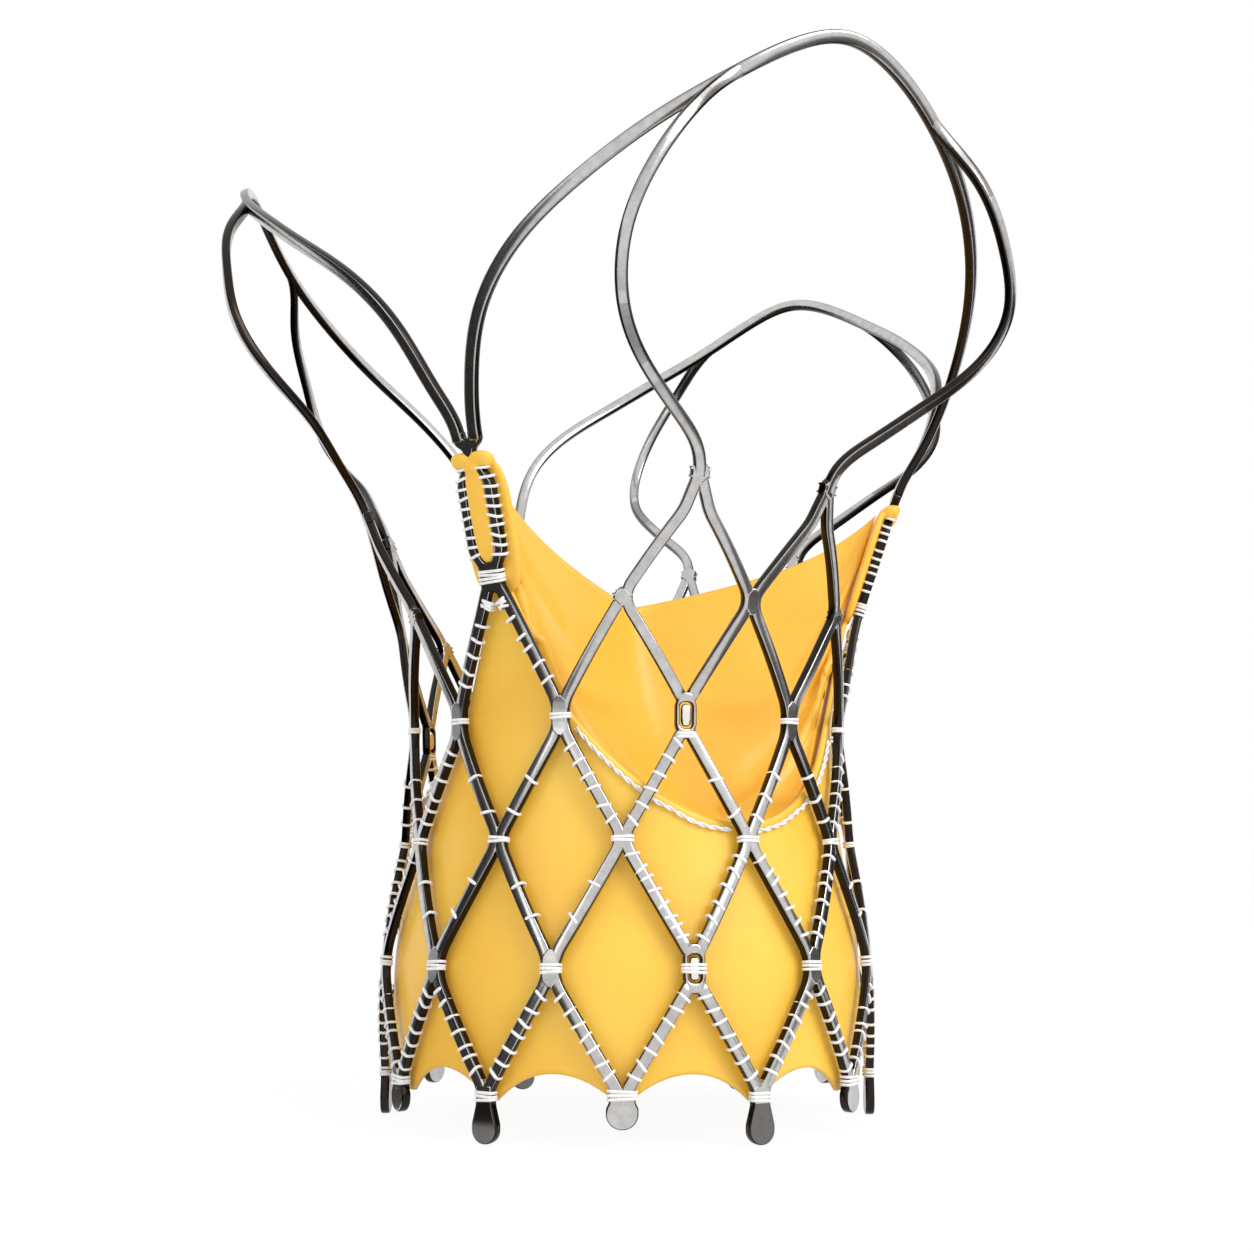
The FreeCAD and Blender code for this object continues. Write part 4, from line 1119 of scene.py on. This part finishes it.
for index in range(3):
    dress(seamThread(index), "suture", f"leaflet_seam_{index + 1}")
for level, z in (("lower", lowerBarZ), ("upper", upperBarZ)):
    sizes = (0.0, -stent["wall"] / 2, z, 0.25, 0.235, 0.54, 0.55)
    beads = [pad(*sizes, azimuth, "marker") for azimuth in eyelets]
    dress(joined(f"{level}Beads", beads), "marker", *[f"{level}_marker_{k}" for k in (1, 2, 3)])
print("thread done")

# Studio: white surroundings for the eye and for reflections, a soft key from the right, a weak fill from
# the left, and dark cards that stand at both sides and lie on the table

studio = {
    "surround": 0.78, "floorGlow": 0.93, "floorHalf": 900.0, "floorZ": -0.01, "aim": 0.025,
    "cardZ": 0.5, "cardTone": 0.008,
    # Name, azimuth, elevation, distance, power and size
    "lamps": [("key", 20.0, 35.0, 0.36, 0.72, 0.22), ("fill", -75.0, 20.0, 0.40, 0.15, 0.2)],
    # Name, azimuth, half angle, height and distance
    "standing": [("leftCard", -98.0, 27.0, 220.0, 260.0), ("rightCard", 84.0, 27.0, 90.0, 260.0)],
    # Name, first and last azimuth, inner and outer radius, and tone
    "lying": [("leftGround", -142.0, -52.0, 15.0, 420.0, 0.008),
              ("frontGround", 20.0, 58.0, 38.0, 420.0, 0.05),
              ("rightGround", 58.0, 150.0, 38.0, 92.0, 0.03)],
}


def litWorld():
    world = bpy.data.worlds.new("studio")
    bpy.context.scene.world = world
    world.use_nodes = True
    world.node_tree.nodes.clear()
    start = Socket(world.node_tree)
    seen = lightPathMask(start)
    strength = seen * (1.0 - studio["surround"]) + studio["surround"]
    background = start.node("ShaderNodeBackground", None, {"Color": (1, 1, 1, 1), "Strength": strength})
    background.into(world.node_tree.nodes.new("ShaderNodeOutputWorld").inputs["Surface"])


def lightPathMask(start):
    # 1 for rays from the eye, mirrors and glass, 0 for light that falls on things
    camera = start.node("ShaderNodeLightPath", output="Is Camera Ray")
    glossy = start.node("ShaderNodeLightPath", output="Is Glossy Ray")
    through = start.node("ShaderNodeLightPath", output="Is Transmission Ray")
    return start.maths("MINIMUM", camera + glossy + through, 1.0)


def floorPiece():
    size, z = studio["floorHalf"], studio["floorZ"]
    corners = [(-size, -size, z), (size, -size, z), (size, size, z), (-size, size, z)]
    material = bpy.data.materials.new("whiteFloor")
    material.use_nodes = True
    tree = material.node_tree
    tree.nodes.clear()
    start = Socket(tree)
    pale = start.node("ShaderNodeBsdfDiffuse", None, {"Color": (0.9, 0.9, 0.9, 1)})
    glow = start.node("ShaderNodeEmission", None, {"Color": (1, 1, 1, 1), "Strength": 1.02})
    share = lightPathMask(start) * studio["floorGlow"]
    mixed = start.node("ShaderNodeMixShader", None, {0: share, 1: pale, 2: glow})
    mixed.into(tree.nodes.new("ShaderNodeOutputMaterial").inputs["Surface"])
    floor = meshObject("floor", corners, (), [(0, 1, 2, 3)], material)


def areaLamp(name, azimuth, elevation, distance, power, size):
    lamp = bpy.data.lights.new(name, "AREA")
    lamp.shape, lamp.size, lamp.energy = "SQUARE", size, power
    thing = linked(name, lamp)
    a, e = math.radians(azimuth), math.radians(elevation)
    place = np.array([math.sin(a) * math.cos(e), -math.cos(a) * math.cos(e), math.sin(e)]) * distance
    thing.location = place + np.array([0, 0, studio["aim"]])
    thing.rotation_euler = (math.radians(90) - e, 0, a)


def darkCard(name, corners, tone):
    # A dark card that only mirrors see
    material, shader, _ = newMaterial("darkCard", 0.9)
    shader["Base Color"].default_value = (tone, tone * 0.9, tone * 0.8, 1)
    faces = [(i, i + 1, i + 3, i + 2) for i in range(0, len(corners) - 2, 2)]
    card = meshObject(name, corners, (), faces, material)
    card.visible_camera = card.visible_diffuse = card.visible_shadow = False


def standingCard(name, azimuth, half, high, distance):
    spread = np.linspace(azimuth - half, azimuth + half, 9)
    darkCard(name, [spot(a, distance, z) for a in spread for z in (-5.0, high)], studio["cardTone"])


def groundCard(name, low, high, inner, outer, tone):
    # A dark sector on the table, which outward-leaning faces mirror
    spread = np.linspace(low, high, 13)
    darkCard(name, [spot(a, r, studio["cardZ"]) for a in spread for r in (inner, outer)], tone)


litWorld()
floorPiece()
for lamp in studio["lamps"]:
    areaLamp(*lamp)
for card in studio["standing"]:
    standingCard(*card)
for card in studio["lying"]:
    groundCard(*card)
print("studio done")

view = {"place": (-0.04549, -0.08200, 0.01181), "pitch": 98.62, "turn": -29.02, "lens": 49.37}
cameraData = bpy.data.cameras.new("camera")
cameraData.lens, cameraData.sensor_width = view["lens"], 36.0
cameraData.clip_start = 0.005
camera = linked("camera", cameraData)
camera.location = view["place"]
camera.rotation_euler = (math.radians(view["pitch"]), 0, math.radians(view["turn"]))
bpy.context.scene.camera = camera
bpy.context.scene.view_settings.view_transform = "Standard"
